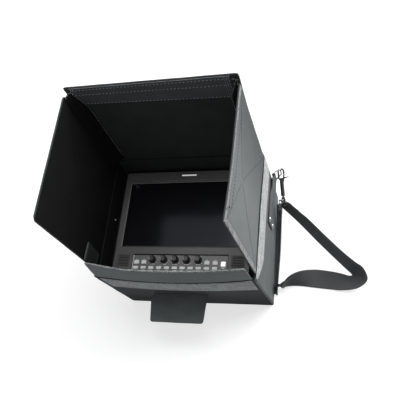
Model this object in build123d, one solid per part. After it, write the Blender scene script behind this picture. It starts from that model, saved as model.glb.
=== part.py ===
"""Camera field monitor in a soft carrying case whose front opens into a sun hood.

Millimetres. The case lies on its back: +Z points out of the screen, +Y towards the
monitor's top and +X to the viewer's right. The origin is the centre of the back face.
"""

from build123d import *
import os
from math import cos, radians, sin, tan

# ---- Monitor -------------------------------------------------------------------------
monitor_width = 225.0
monitor_height = 182.0
monitor_thickness = 77.0
monitor_x = -3.0  # the monitor sits left of the case's middle
monitor_face = 133.0  # its front face above the back face
monitor_corner = 4.0
casing = 2.5  # moulded wall
casing_clearance = 0.2
bezel_depth = 14.0
bezel_front = 5.0  # thickness of the bezel's front wall
bezel_round = 1.2
screen_side = 14.0  # from the monitor's edge to the screen's window
screen_top = 19.55
screen_recess = 2.5
bevel = 3.0
glass_seat = 2.0  # how far the glass reaches behind the bezel
glass_thickness = 1.5
lcd_margin = 4.0
lcd_thickness = 8.5
panel_clearance = 0.3
shell_round = 2.0
louvre_count = 10
louvre_length = 60.0
louvre_width = 2.4
louvre_pitch = 5.5
louvre_first_y = 20.0

# ---- Controls ------------------------------------------------------------------------
plate_side = 33.5  # from the monitor's edge to the control plate's opening
plate_height = 28.0
plate_bottom = 5.5
plate_gap = 14.45  # between the control plate and the screen
plate_recess = 2.0
plate_thickness = 2.0
plate_corner = 1.0
knob_radius = 6.1
knob_height = 7.4
knob_left = 33.9  # from the plate's left edge to the first knob's middle
knob_right = 48.3  # from the last knob's middle to the plate's right edge
knob_rise = 5.3  # above the plate's middle
knob_count = 5
knob_lift = 0.5  # gap under each knob
knob_ribs = 18
knob_groove = 0.45
knob_dish = 0.5
knob_shoulder = 1.0
knob_mark = 0.9  # width of the pointer's groove
shaft_radius = 3.0
shaft_depth = 4.0  # behind the plate
turn_clearance = 0.25
encoder_size = (11.0, 10.0)
switch_size = (4.0, 3.0)
switch_gap = 0.1
key_clearance = 0.25
key_height = 0.9  # above the plate
key_travel = 0.8
key_corner = 0.7
key_round = 0.35
lower_key_size = (8.4, 4.6)
lower_key_left = 6.5
lower_key_right = 20.9
lower_key_rise = -8.1
lower_key_count = 11
upper_key_size = (8.4, 6.0)
upper_key_rise = 0.9
upper_keys_left = (7.1, 19.6)  # from the plate's left edge
upper_keys_right = (34.1, 20.7)  # from the plate's right edge
power_key_size = (7.4, 7.8)
power_key_right = 7.8
power_key_rise = -0.8
key_flange = 0.9
key_flange_end = 0.54
flange_thickness = 1.2
tally_width = 26.0
tally_height = 2.6
tally_drop = 7.8  # below the monitor's top edge
tally_depth = 3.5
tally_stand = 0.2
speaker_width = 22.0
speaker_height = 20.0
speaker_side = 18.0  # from the monitor's edge to the speaker's middle
speaker_rise = 2.5
speaker_slots = 7
speaker_slot = 1.1
speaker_pitch = 2.6
speaker_recess = 0.6
grille_thickness = 1.5
cone_radius = 8.0
cone_depth = 7.0
speaker_rim = 2.0

# ---- Circuit boards ------------------------------------------------------------------
board_thickness = 1.6
control_board_depth = 8.0  # behind the plate
main_board_side = 17.5  # from the monitor's edges to the main board's
main_board_end = 16.0
standoff = 6.0
standoff_radius = 3.5
standoff_inset = 15.0  # from the main board's edges
heat_sink = 46.0
heat_sink_base = 3.0
heat_sink_y = 20.0
fin_count = 8
fin_pitch = 6.0
fin_thickness = 1.6
fin_height = 9.0
socket_size = (14.0, 16.0, 12.0)
socket_count = 4
socket_pitch = 22.0
socket_inset = 29.0  # from the board's left edge
socket_rise = 13.0  # from the board's lower edge

# ---- Carrying case -------------------------------------------------------------------
side_foam = 11.0  # foam beside the monitor, on average
end_foam = 6.5
rim_depth = 159.0  # front edge of the left wall, above the back face
wall = 4.0  # stiffened nylon wall
case_width = monitor_width + 2 * (side_foam + wall)
case_height = monitor_height + 2 * (end_foam + wall)
corner_radius = 3.0
bottom_bow = 13.0  # how far the bottom wall bulges at its front edge
side_bow = 1.0
back_thickness = 4.0
pad_clearance = 0.5  # soft pieces round the monitor
pad_corner = 2.0
foam_below = 10.0  # the foam frame starts this far behind the monitor
foam_drop = 9.0  # and ends this far behind its face

# ---- Folding hood --------------------------------------------------------------------
board = 2.5  # board between two layers of nylon
trim = 0.8  # webbing and hook strips sewn on a board
fold_clearance = 0.3
hood_front = 355.5  # front edges of the open hood, above the back face
hood_corner = 4.0
lid_lean = 2.3  # degrees that the open lid leans outwards
right_lean = 0.9  # degrees that the open right panel leans inwards
panel_top_taper = 2.0  # how much lower the side panels' tops are at the front
panel_bottom_taper = 7.0  # how much higher their bottom edges are at the front
lip_depth = 47.0
lip_taper = 3.0
lid_band_width = 37.0
lid_band_left_inset = 8.5  # from the case's left side
lid_band_right_inset = 16.5
lip_tab_length = 42.0
lip_tab_height = 29.0
lip_tab_slant = 4.0
lip_tab_lift = 1.0  # above the bottom wall's rim
strip_rear_drop = 26.0  # corner strip on the side panel, at the hinge
strip_front_drop = 9.0
strip_reach = 20.0  # corner strip on the lid
strip_inset = 12.0  # corner strips start this far in front of the hinge
lid_band_gap = 2.0  # from the lid's front edge to its band

# ---- Loop band and bottom flap ---------------------------------------------------------
band_rear = 117.0
band_thickness = 1.2
band_clearance = 0.2
flap_root_z = 90.0
flap_center_x = -10.5
flap_root_width = 96.0
flap_end_width = 88.0
flap_length = 47.0
flap_thickness = 1.5

# ---- Strap hardware ------------------------------------------------------------------
webbing_width = 38.0
webbing_thickness = 2.0
webbing_z = 78.0
webbing_inset = 1.5  # from the case's top edge to the D ring's fold
webbing_free = 40.0  # from the fold to the seam
webbing_rise = 18.0  # length over which the free end leaves the wall
webbing_length = 88.0
webbing_standoff = 2.0
rivet_radius = 3.2
rivet_rise = 8.0  # above the webbing's lower end
rivet_offsets = (-17.0, 13.0)
wire = 1.4  # radius of the wire in the rings
wire_clearance = 0.3
d_ring_width = 26.0
d_ring_height = 15.0
d_ring_tilt = 45.0
d_ring_taper = 0.75
d_ring_bend = 3.0
hook_wire = 1.5
hook_bends = (2.5, 4.2, 4.2)
hook_back = -4.6  # the jaw's back, in the hook's own plane
jaw_foot = -12.0
jaw_opening = -5.2  # the jaw's wire ends here, above the gate
shank_radius = 3.4
shank_top = -11.5
shank_cap = 0.5  # the rim at the shank's top stands out by this
swivel_gap = 2.6
swivel_collar = 1.9
eye_wall = 1.6
eye_height = 3.2
gate_thickness = 2.6
gate_pin = 0.8
gate_pin_x = 3.0
gate_pin_y = -17.0
gate_lean = 1.8  # the gate's tip, out from its pin
gate_tip = -5.6
gate_half = 1.5
gate_boss = 1.7
gate_slot_width = 10.0
gate_slot_depth = 13.5
gate_lug = ((4.2, -13.2), (5.0, -10.6), (12.6, -9.6), (12.6, -11.0))
gate_slot_y = -13.0
gate_open = 24.0
strap_width = 32.0
strap_thickness = 1.8
strap_fold_inset = 16.5  # the fold round a ring's bar is this much narrower than the strap
# Stations of the strap's two edges, from the upper ring to the lower one: X from the right
# wall's outside, Y from the D ring's fold and Z from the floor.
strap_lower_edge = [
    (13.8, -33.5, 32.0), (43.1, -57.1, 13.0), (72.1, -85.3, 2.0), (102.3, -116.7, 1.3),
    (123.3, -138.0, 1.3), (128.3, -143.0, 1.3), (129.3, -146.0, 1.5), (124.3, -146.5, 1.5),
    (112.0, -143.0, 1.3), (93.9, -139.5, 1.3), (68.5, -137.5, 3.0), (46.3, -146.0, 21.0),
    (29.3, -158.0, 30.5), (17.8, -174.0, 33.0),
]
strap_upper_edge = [
    (24.1, -41.5, 61.0), (53.0, -62.0, 43.0), (84.3, -87.5, 31.6), (114.9, -115.6, 30.8),
    (134.3, -131.5, 31.0), (147.8, -141.0, 26.0), (153.8, -158.0, 17.0), (137.8, -171.0, 11.5),
    (113.3, -173.5, 6.0), (93.9, -171.3, 1.7), (68.8, -169.0, 1.3), (46.8, -166.8, 1.3),
    (29.8, -166.8, 1.3), (17.8, -168.5, 1.3),
]
ring_depth = 8.0  # of the strap's two trapezoid rings
ring_top = 8.0

# ---- Zip along the back's right edge -------------------------------------------------
zip_z = 8.0
zip_stand = 8.0  # from the wall to the middle of the teeth
zip_inset = 17.5  # from the case's edges to the zip's ends
zip_stop = 3.0
zip_tape = 1.2
zip_teeth = 1.7  # radius of the row of teeth
slider_drop = 12.0  # below the zip's upper end
slider_length = 10.0
slider_corner = 1.2
ear_size = (1.2, 3.4, 3.6)
ear_rise = 1.3
pin_radius = 0.7
pin_shift = 1.5  # the pull's pin, behind the slider's middle
pin_rise = 1.7
slider_wall = 1.4
slider_clearance = 0.35
pull_length = 20.0
pull_width = 5.0
pull_thickness = 1.3
pull_corner = 1.6
pull_neck = 5.0
pull_window = (2.0, 5.0)
pull_eye = 1.55
pull_bore = 0.95

# ---- Derived places ------------------------------------------------------------------
half_width = case_width / 2
half_height = case_height / 2
level = board + trim + fold_clearance  # one folded layer of the hood
left_rim = rim_depth
right_rim = left_rim + level
top_rim = right_rim + level
bottom_rim = top_rim + board + fold_clearance
inner_half_width = half_width - board
inner_half_height = half_height - board
panel_half_height = half_height - wall - fold_clearance
hood_length = hood_front - left_rim
monitor_bottom = monitor_face - monitor_thickness
monitor_end = monitor_height / 2
screen_width = monitor_width - 2 * screen_side
screen_height = monitor_height - screen_top - plate_gap - plate_height - plate_bottom
screen_y = monitor_end - screen_top - screen_height / 2
plate_width = monitor_width - 2 * plate_side
plate_half = plate_width / 2
plate_y = plate_bottom + plate_height / 2 - monitor_end
plate_face = monitor_face - plate_recess
plate_back = plate_face - plate_thickness
main_board_width = monitor_width - 2 * main_board_side
main_board_height = monitor_height - 2 * main_board_end
webbing_top_y = half_height - webbing_inset
webbing_seam_y = webbing_top_y - webbing_free
webbing_low_y = webbing_top_y - webbing_length
zip_reach = half_height - zip_inset
slider_y = zip_reach - slider_drop


def place(shape, x=0.0, y=0.0, z=0.0):
    """Move a shape."""
    return Pos(x, y, z) * shape


def slab(width, height, thickness, x=0.0, y=0.0, z=0.0, radius=0.0):
    """A plate whose lower face is centred on x, y, z, with rounded corners."""
    outline = RectangleRounded(width, height, radius) if radius else Rectangle(width, height)
    return place(extrude(outline, thickness), x, y, z)


def arc_section(length, bow, outside, thickness):
    """A face across a bowed wall: length along X, its outside facing -Y."""
    outer = ThreePointArc((-length / 2, -outside), (0, -outside - bow), (length / 2, -outside))
    inner = ThreePointArc(
        (length / 2, -outside + thickness),
        (0, -outside - bow + thickness),
        (-length / 2, -outside + thickness),
    )
    edges = [outer, Line(outer @ 1, inner @ 0), inner, Line(inner @ 1, outer @ 0)]
    return make_face(edges)


def bowed_wall(length, outside, low, high, full, bow, thickness, stand=0.0):
    """A wall from low to high whose bulge grows from nothing at the back to bow at full."""
    sections = []
    for z in (low, high):
        bulge = max(bow * z / full, 0.05)
        sections.append(Pos(0, 0, z) * arc_section(length, bulge, outside + stand, thickness))
    return loft(sections, ruled=True)


def case_walls():
    """The four stiffened walls of the soft case; top and bottom span its full width."""
    side_length = case_height - 2 * wall - 2 * fold_clearance
    bottom = bowed_wall(
        case_width, half_height, back_thickness, bottom_rim, bottom_rim, bottom_bow, wall
    )
    top = Rot(0, 0, 180) * bowed_wall(
        case_width, half_height, back_thickness, top_rim, top_rim, side_bow, wall
    )
    left = Rot(0, 0, -90) * bowed_wall(
        side_length, half_width, back_thickness, left_rim, left_rim, side_bow, wall
    )
    right = Rot(0, 0, 90) * bowed_wall(
        side_length, half_width, back_thickness, right_rim, right_rim, side_bow, wall
    )
    rounded = []
    for shape in (top, bottom):
        corners = shape.edges().filter_by(lambda e: abs(e.center().X) > half_width - 0.1)
        outer = [e for e in corners if abs(e.center().Y) > half_height - 0.5 and e.length > wall * 2]
        rounded.append(fillet(outer, corner_radius))
    return {
        "case_top_wall": rounded[0],
        "case_bottom_wall": rounded[1],
        "case_left_wall": left,
        "case_right_wall": right,
        "case_back_panel": slab(case_width, case_height, back_thickness, radius=corner_radius),
    }


def band_strip(length, trimmed, outside, rim, bow):
    """One strip of the loop band on a wall, cut short of the case's corners."""
    strip = bowed_wall(
        length, outside, band_rear, rim - 1, rim, bow, band_thickness, band_thickness + band_clearance
    )
    reach = 4 * (bow + band_thickness) + 2 * outside
    return strip & place(Box(trimmed, reach, 2 * rim), z=rim)


def loop_band():
    """Strips of loop fabric round the outside of the case's mouth."""
    across = case_width - 2 * corner_radius
    side_length = case_height - 2 * wall - 2 * fold_clearance
    strips = [
        band_strip(case_width, across, half_height, bottom_rim, bottom_bow),
        Rot(0, 0, 180) * band_strip(case_width, across, half_height, top_rim, side_bow),
        Rot(0, 0, -90) * band_strip(side_length, side_length, half_width, left_rim, side_bow),
        Rot(0, 0, 90) * band_strip(side_length, side_length, half_width, right_rim, side_bow),
    ]
    return Compound(children=strips)


def padding():
    """The foam frame that holds the monitor, and the pad behind it."""
    outer_width = case_width - 2 * wall - 2 * pad_clearance
    outer_height = case_height - 2 * wall - 2 * pad_clearance
    frame_low = monitor_bottom - foam_below
    frame_high = monitor_face - foam_drop
    frame = slab(outer_width, outer_height, frame_high - frame_low, z=frame_low, radius=pad_corner)
    frame -= slab(
        monitor_width + 2 * pad_clearance,
        monitor_height + 2 * pad_clearance,
        frame_high - frame_low,
        x=monitor_x,
        z=frame_low,
        radius=monitor_corner,
    )
    pad_low = back_thickness + pad_clearance
    pad_depth = frame_low - pad_clearance - pad_low
    pad = slab(outer_width, outer_height, pad_depth, z=pad_low, radius=pad_corner)
    step = slab(
        monitor_width, monitor_height, monitor_bottom - frame_low, x=monitor_x, z=frame_low - pad_clearance,
        radius=monitor_corner,
    )
    return {"foam_frame": frame, "rear_foam_pad": pad + step}


# ---- Hood ----------------------------------------------------------------------------


def side_outline(rim):
    """A side panel's outline in (height, depth), from its hinge to its front edge."""
    low = rim + fold_clearance
    return Polygon(
        (-panel_half_height, low),
        (panel_half_height, low),
        (panel_half_height - panel_top_taper, hood_front),
        (-panel_half_height + panel_bottom_taper, hood_front),
        align=None,
    )


def side_panel(rim, side, lean):
    """A side panel that stands on its wall and turns about its inner lower edge."""
    face = Plane(origin=(side * inner_half_width, 0, 0), x_dir=(0, 1, 0), z_dir=(1, 0, 0))
    solid = extrude(face * side_outline(rim), side * board)
    front = [e for e in solid.edges().filter_by(Axis.X) if e.center().Z > hood_front - 1]
    solid = fillet(front, hood_corner)
    return tilt(solid, rim, side, lean)


def tilt(shape, rim, side, lean):
    """Lean a piece of a side panel inwards about the panel's hinge."""
    hinge = Axis((side * inner_half_width, 0, rim + fold_clearance), (0, -side, 0))
    return shape.rotate(hinge, lean)


def lip_tab(rim, side, lean):
    """The fabric tab of the lip, stuck flat inside a side panel."""
    low_z = bottom_rim + lip_tab_lift
    high_z = low_z + lip_tab_length
    low_y = -panel_half_height + panel_bottom_taper * 0.4
    outline = Polygon(
        (low_y, low_z),
        (low_y + lip_tab_height - lip_tab_slant, low_z),
        (low_y + lip_tab_height, high_z),
        (low_y, high_z),
        align=None,
    )
    face = Plane(origin=(side * inner_half_width, 0, 0), x_dir=(0, 1, 0), z_dir=(1, 0, 0))
    return tilt(extrude(face * outline, -side * trim), rim, side, lean)


def lid_axis():
    """The lid's hinge, at its inner lower edge; a positive turn closes it."""
    return Axis((0, inner_half_height, top_rim + fold_clearance), (1, 0, 0))


def hood_lid():
    """The lid, which fits between the side panels so that it can close inside them."""
    low = top_rim + fold_clearance
    left = -inner_half_width + fold_clearance
    left_front = left + trim + fold_clearance
    right_front = inner_half_width - (hood_front - right_rim) * tan(radians(right_lean)) - fold_clearance
    face = Plane(origin=(0, inner_half_height, 0), x_dir=(1, 0, 0), z_dir=(0, -1, 0))
    outline = Polygon(
        (left, low),
        (inner_half_width - fold_clearance, low),
        (right_front, hood_front),
        (left_front, hood_front),
        align=None,
    )
    solid = extrude(face * outline, -board)
    front = [e for e in solid.edges().filter_by(Axis.Y) if e.center().Z > hood_front - 1]
    return fillet(front, hood_corner).rotate(lid_axis(), -lid_lean)


def lid_front_band():
    """The stitched strip across the inside of the lid, just behind its front edge."""
    left = -case_width / 2 + lid_band_left_inset
    right = case_width / 2 - lid_band_right_inset
    middle = hood_front - lid_band_gap - lid_band_width / 2
    solid = Box(right - left, trim, lid_band_width)
    solid = place(solid, (left + right) / 2, inner_half_height - trim / 2, middle)
    return solid.rotate(lid_axis(), -lid_lean)


def hood_lip():
    """The short bottom panel, which follows the bulge of the bottom wall."""
    low = bottom_rim + fold_clearance
    sections = []
    for height, narrow in ((0.0, 0.0), (lip_depth, lip_taper)):
        length = 2 * (inner_half_width - trim - 2 * fold_clearance - narrow)
        section = arc_section(length, bottom_bow - narrow, half_height, board)
        sections.append(Pos(0, 0, low + height) * section)
    return loft(sections, ruled=True)


def corner_strips():
    """The strips of fabric that close the corners between the lid and the side panels."""
    low = top_rim + strip_inset
    high = hood_front - lid_band_gap - lid_band_width - 2 * fold_clearance
    strips = []
    for side in (-1, 1):
        sections = []
        for z, drop in ((low, strip_rear_drop), (high, strip_front_drop)):
            lean_in = (z - right_rim) * tan(radians(right_lean)) if side > 0 else 0.0
            outer_x = side * (inner_half_width - lean_in - 2 * fold_clearance)
            inner_x = side * (inner_half_width - strip_reach)
            lid_y = inner_half_height + (z - top_rim) * tan(radians(lid_lean)) - fold_clearance
            outline = Polyline(
                (outer_x, lid_y - drop),
                (outer_x, lid_y - drop + trim),
                (inner_x, lid_y),
                (inner_x, lid_y - trim),
                close=True,
            )
            sections.append(Pos(0, 0, z) * make_face(outline))
        strips.append(loft(sections, ruled=True))
    return Compound(children=strips)


def bottom_flap():
    """The hemmed flap under the case, hinged at its seam behind the loop band."""
    root_y = flap_hinge_y()
    outline = Polygon(
        (flap_center_x - flap_root_width / 2, root_y),
        (flap_center_x + flap_root_width / 2, root_y),
        (flap_center_x + flap_end_width / 2, root_y - flap_length),
        (flap_center_x - flap_end_width / 2, root_y - flap_length),
        align=None,
    )
    solid = extrude(outline, flap_thickness / 2, both=True)
    corners = [e for e in solid.edges().filter_by(Axis.Z) if e.center().Y < root_y - 1]
    return place(fillet(corners, hood_corner), z=flap_root_z)


def flap_hinge_y():
    """The flap's root, just outside the bulging bottom wall."""
    return -half_height - bottom_bow * flap_root_z / bottom_rim - flap_thickness / 2 - fold_clearance


# ---- Monitor -------------------------------------------------------------------------


def bezel():
    """The moulded front casing: a bevelled screen window over the control panel's opening."""
    low = monitor_face - bezel_depth
    inside = monitor_face - bezel_front
    body = slab(monitor_width, monitor_height, bezel_depth, z=low, radius=monitor_corner)
    top_edges = body.faces().sort_by(Axis.Z)[-1].edges()
    body = fillet(top_edges, bezel_round)
    body -= slab(
        monitor_width - 2 * casing, monitor_height - 2 * casing, inside - low, z=low,
        radius=monitor_corner - casing,
    )
    for width, height, x, y, radius in bezel_openings():
        body -= slab(width, height, bezel_front, x, y, inside, radius)
    seat = 2 * glass_seat
    body -= slab(
        screen_width + seat, screen_height + seat, bezel_front - screen_recess, y=screen_y, z=inside
    )
    return place(body - screen_flare(), x=monitor_x)


def bezel_openings():
    """Width, height, middle and corner radius of each opening through the bezel's front wall."""
    openings = [
        (screen_width, screen_height, 0.0, screen_y, 0.0),
        (plate_width, plate_height, 0.0, plate_y, plate_corner),
        (tally_width, tally_height, 0.0, monitor_end - tally_drop, 0.0),
    ]
    for side in (-1, 1):
        openings.append((speaker_width, speaker_height, side * speaker_x(), speaker_y(), 0.0))
    return openings


def screen_flare():
    """What the bevel round the screen's window removes."""
    wide = Rectangle(screen_width + 2 * bevel, screen_height + 2 * bevel)
    narrow = Pos(0, screen_y, monitor_face - screen_recess) * Rectangle(screen_width, screen_height)
    return loft([narrow, Pos(0, screen_y, monitor_face) * wide], ruled=True)


def rear_shell():
    """The rear casing, with louvres cut in its back and standoffs for the main board."""
    height = monitor_thickness - bezel_depth - casing_clearance
    shell = slab(monitor_width, monitor_height, height, z=monitor_bottom, radius=monitor_corner)
    shell = fillet(shell.faces().sort_by(Axis.Z)[0].edges(), shell_round)
    shell -= slab(
        monitor_width - 2 * casing, monitor_height - 2 * casing, height, z=monitor_bottom + casing,
        radius=monitor_corner - casing,
    )
    for row in range(louvre_count):
        y = louvre_first_y + row * louvre_pitch
        shell -= slab(louvre_length, louvre_width, casing, y=y, z=monitor_bottom, radius=louvre_width * 0.45)
    for side in (-1, 1):
        x = side * (main_board_width / 2 - standoff_inset)
        for end in (-1, 1):
            y = end * (main_board_height / 2 - standoff_inset)
            shell += place(extrude(Circle(standoff_radius), standoff), x, y, monitor_bottom + casing)
    return place(shell, x=monitor_x)


def screen():
    """The filter glass in its seat and the panel module behind it."""
    glass_back = monitor_face - screen_recess - glass_thickness
    seat = 2 * (glass_seat - panel_clearance)
    glass = slab(
        screen_width + seat, screen_height + seat, glass_thickness - panel_clearance / 2,
        x=monitor_x, y=screen_y, z=glass_back,
    )
    module_top = monitor_face - bezel_front - panel_clearance
    module = slab(
        screen_width + 2 * lcd_margin, screen_height + 2 * lcd_margin, lcd_thickness,
        x=monitor_x, y=screen_y, z=module_top - lcd_thickness,
    )
    return {"screen_glass": glass, "lcd_module": module}


def key_places():
    """Each key's name, middle and size, in the monitor's own X and Y."""
    upper_x = [x - plate_half for x in upper_keys_left] + [plate_half - x for x in upper_keys_right]
    upper_y = plate_y + upper_key_rise
    keys = [(f"upper_key_{i + 1}", x, upper_y, upper_key_size) for i, x in enumerate(upper_x)]
    power_x = plate_half - power_key_right
    keys.append(("power_key", power_x, plate_y + power_key_rise, power_key_size))
    pitch = (plate_width - lower_key_left - lower_key_right) / (lower_key_count - 1)
    for i in range(lower_key_count):
        x = lower_key_left - plate_half + i * pitch
        keys.append((f"lower_key_{i + 1}", x, plate_y + lower_key_rise, lower_key_size))
    return keys


def knob_places():
    """The middle of each knob, in the monitor's own X and Y."""
    pitch = (plate_width - knob_left - knob_right) / (knob_count - 1)
    first = knob_left - plate_half
    return [(first + i * pitch, plate_y + knob_rise) for i in range(knob_count)]


def speaker_x():
    """How far each speaker is from the monitor's middle."""
    return monitor_width / 2 - speaker_side


def speaker_y():
    """The speakers' height on the monitor's face."""
    return plate_y + speaker_rise


def control_plate():
    """The recessed plate, pierced for the knob shafts and the keys."""
    plate = slab(
        plate_width - 2 * key_clearance, plate_height - 2 * key_clearance, plate_thickness,
        y=plate_y, z=plate_back, radius=plate_corner,
    )
    for x, y in knob_places():
        plate -= place(extrude(Circle(shaft_radius + turn_clearance), plate_thickness), x, y, plate_back)
    for _, x, y, (width, height) in key_places():
        plate -= slab(
            width + 2 * key_clearance, height + 2 * key_clearance, plate_thickness, x, y, plate_back,
            radius=key_corner,
        )
    return place(plate, x=monitor_x)


def control_board():
    """The board behind the plate, with an encoder under each knob and a switch under each key."""
    low = plate_back - control_board_depth
    solid = slab(plate_width - 2 * casing, plate_height - casing, board_thickness, y=plate_y, z=low)
    top = low + board_thickness
    encoder_height = plate_back - casing_clearance - top
    for x, y in knob_places():
        encoder = slab(*encoder_size, encoder_height, x, y, top)
        bore = place(extrude(Circle(shaft_radius + turn_clearance), encoder_height), x, y, top)
        solid += encoder - bore
    switch_height = key_bottom() - key_travel - switch_gap - top
    for _, x, y, _ in key_places():
        solid += slab(*switch_size, switch_height, x, y, top)
    return place(solid, x=monitor_x)


def key_bottom():
    """The underside of a key's flange at rest."""
    return plate_back - key_clearance - flange_thickness


def keys():
    """Moulded keys, each held behind the plate by its flange."""
    solids = {}
    top = plate_face + key_height
    stem_low = plate_back - key_clearance
    for name, x, y, (width, height) in key_places():
        cap = slab(width, height, top - stem_low, x, y, stem_low, radius=key_corner)
        cap = fillet(cap.faces().sort_by(Axis.Z)[-1].edges(), key_round)
        wide = width + 2 * key_flange
        flange = slab(wide, height + 2 * key_flange_end, flange_thickness, x, y, key_bottom())
        solids[name] = place(cap + flange, x=monitor_x)
    return solids


def knob(x, y):
    """A ribbed knob with a dished top, in one with its shaft."""
    low = plate_face + knob_lift
    top = low + knob_height
    shaft_low = plate_back - shaft_depth
    profile = Polyline(
        (0, shaft_low),
        (shaft_radius, shaft_low),
        (shaft_radius, low),
        (knob_radius, low),
        (knob_radius * 0.93, top - knob_shoulder),
        (knob_radius * 0.80, top),
        (knob_radius * 0.55, top - knob_dish),
        (0, top - knob_dish),
        close=True,
    )
    body = revolve(Plane.XZ * make_face(profile), Axis.Z)
    groove = Pos(knob_radius + knob_groove / 3, 0, low) * Cylinder(knob_groove, knob_height * 2)
    for i in range(knob_ribs):
        body -= Rot(0, 0, 360 / knob_ribs * i) * groove
    mark = Pos(0, knob_radius * 0.62, top) * Box(knob_mark, knob_radius * 0.5, 3 * knob_dish)
    return place(body - mark, monitor_x + x, y)


def speaker_parts():
    """Slotted grilles in the bezel's lower corners, and the drivers behind them."""
    grilles = []
    drivers = []
    low = monitor_face - speaker_recess - grille_thickness
    rim_low = low - speaker_rim - casing_clearance
    for side in (-1, 1):
        grille = slab(
            speaker_width - 2 * key_clearance, speaker_height - 2 * key_clearance, grille_thickness, z=low
        )
        for i in range(speaker_slots):
            y = (i - (speaker_slots - 1) / 2) * speaker_pitch
            slot_length = speaker_width - 2 * speaker_rim
            radius = speaker_slot * 0.45
            grille -= slab(slot_length, speaker_slot, grille_thickness, y=y, z=low, radius=radius)
        grilles.append(place(grille, monitor_x + side * speaker_x(), speaker_y()))
        width, height = speaker_width - speaker_rim, speaker_height - speaker_rim
        rim = slab(width, height, speaker_rim, z=rim_low, radius=speaker_rim)
        cone = place(extrude(Circle(cone_radius), -cone_depth), z=rim_low)
        drivers.append(place(rim + cone, monitor_x + side * speaker_x(), speaker_y()))
    return {"speaker_grilles": Compound(children=grilles), "speakers": Compound(children=drivers)}


def main_board():
    """The main board on the rear shell's standoffs, with its heat sink and sockets."""
    low = monitor_bottom + casing + standoff + casing_clearance
    solid = slab(main_board_width, main_board_height, board_thickness, z=low, radius=pad_corner)
    top = low + board_thickness
    solid += slab(heat_sink, heat_sink, heat_sink_base, y=heat_sink_y, z=top)
    for i in range(fin_count):
        y = heat_sink_y + (i - (fin_count - 1) / 2) * fin_pitch
        solid += slab(heat_sink, fin_thickness, fin_height, y=y, z=top + heat_sink_base)
    width, height, depth = socket_size
    for i in range(socket_count):
        x = socket_inset - main_board_width / 2 + i * socket_pitch
        solid += slab(width, height, depth, x, socket_rise - main_board_height / 2, top)
    return place(solid, x=monitor_x)


def tally_lens():
    """The lamp's lens, flush in the bezel over the screen."""
    solid = slab(
        tally_width - 2 * casing_clearance, tally_height - 2 * casing_clearance, tally_depth,
        monitor_x, monitor_end - tally_drop, monitor_face - tally_depth + tally_stand, radius=0.5,
    )
    return solid


# ---- Strap hardware ------------------------------------------------------------------


def wire_path(points, radii, radius):
    """A round bar along runs joined by arcs."""
    path = FilletPolyline(*points, radius=radii)
    return sweep(Plane(origin=path @ 0, z_dir=path % 0) * Circle(radius), path=path)


def wire_loop(points, bend, radius):
    """A closed ring of round wire through points in the XY plane."""
    path = fillet(Polygon(*points, align=None).vertices(), bend).wire()
    return sweep(Plane(origin=path @ 0, z_dir=path % 0) * Circle(radius), path=path)


def trapezoid_ring():
    """A strap ring: its long bar on Y = 0, its short bar on the +Y side."""
    long_half = strap_width / 2 + wire
    short_half = ring_top / 2
    points = [(-long_half, 0), (long_half, 0), (short_half, ring_depth), (-short_half, ring_depth)]
    return wire_loop(points, wire * 1.2, wire)


def webbing_face():
    """X of the right wall's outside, where webbing is sewn on."""
    return half_width + side_bow + band_clearance


def webbing_eye():
    """Where the D ring's straight bar runs through the folded end of the webbing."""
    eye = wire + wire_clearance + webbing_thickness
    return Vector(webbing_face() + webbing_standoff + webbing_thickness, webbing_top_y + eye, webbing_z)


def side_webbing():
    """Webbing sewn to the right wall; its free end stands off and holds the D ring."""
    low = webbing_z - webbing_width / 2
    near = webbing_face()
    far = near + webbing_standoff
    t = webbing_thickness
    eye = webbing_eye()
    outline = Polygon(
        (near, webbing_low_y),
        (near + t, webbing_low_y),
        (near + t, webbing_seam_y),
        (far + 1.5 * t, webbing_seam_y + webbing_rise),
        (far + 1.5 * t, webbing_top_y + t / 2),
        (far + 0.5 * t, webbing_top_y + t / 2),
        (far + 0.5 * t, webbing_seam_y + webbing_rise),
        (near, webbing_seam_y),
        align=None,
    )
    band = place(extrude(outline, webbing_width), z=low)
    tube = Circle(eye.Y - webbing_top_y) - Circle(wire + wire_clearance)
    length = d_ring_width - 4 * wire
    return band + place(extrude(tube, length), eye.X, eye.Y, webbing_z - length / 2)


def d_ring():
    """A welded ring whose straight bar lies in the webbing's fold."""
    half = d_ring_width / 2
    h = d_ring_height
    outline = [(-half, 0), (half, 0), (half * d_ring_taper, h), (-half * d_ring_taper, h)]
    ring = wire_loop(outline, d_ring_bend, wire)
    eye = webbing_eye()
    return Pos(eye.X, eye.Y, eye.Z) * Rot(0, 0, -d_ring_tilt) * Rot(0, 90, 0) * ring


def ring_tip():
    """The middle of the D ring's far bar, where the snap hook hangs."""
    angle = radians(d_ring_tilt)
    return webbing_eye() + Vector(sin(angle), cos(angle), 0) * d_ring_height


def hook_span():
    """From the D ring's far bar to the short bar of the strap's upper ring."""
    return upper_ring_plane().from_local_coords(Vector(0, ring_depth, 0)) - ring_tip()


def hook_plane():
    """The snap hook's own plane: Y up to the D ring's far bar, X out through the gate."""
    up = -hook_span().normalized()
    across = up.cross(Vector(0, 0, 1)).normalized()
    return Plane(origin=ring_tip(), x_dir=across, z_dir=across.cross(up))


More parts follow.
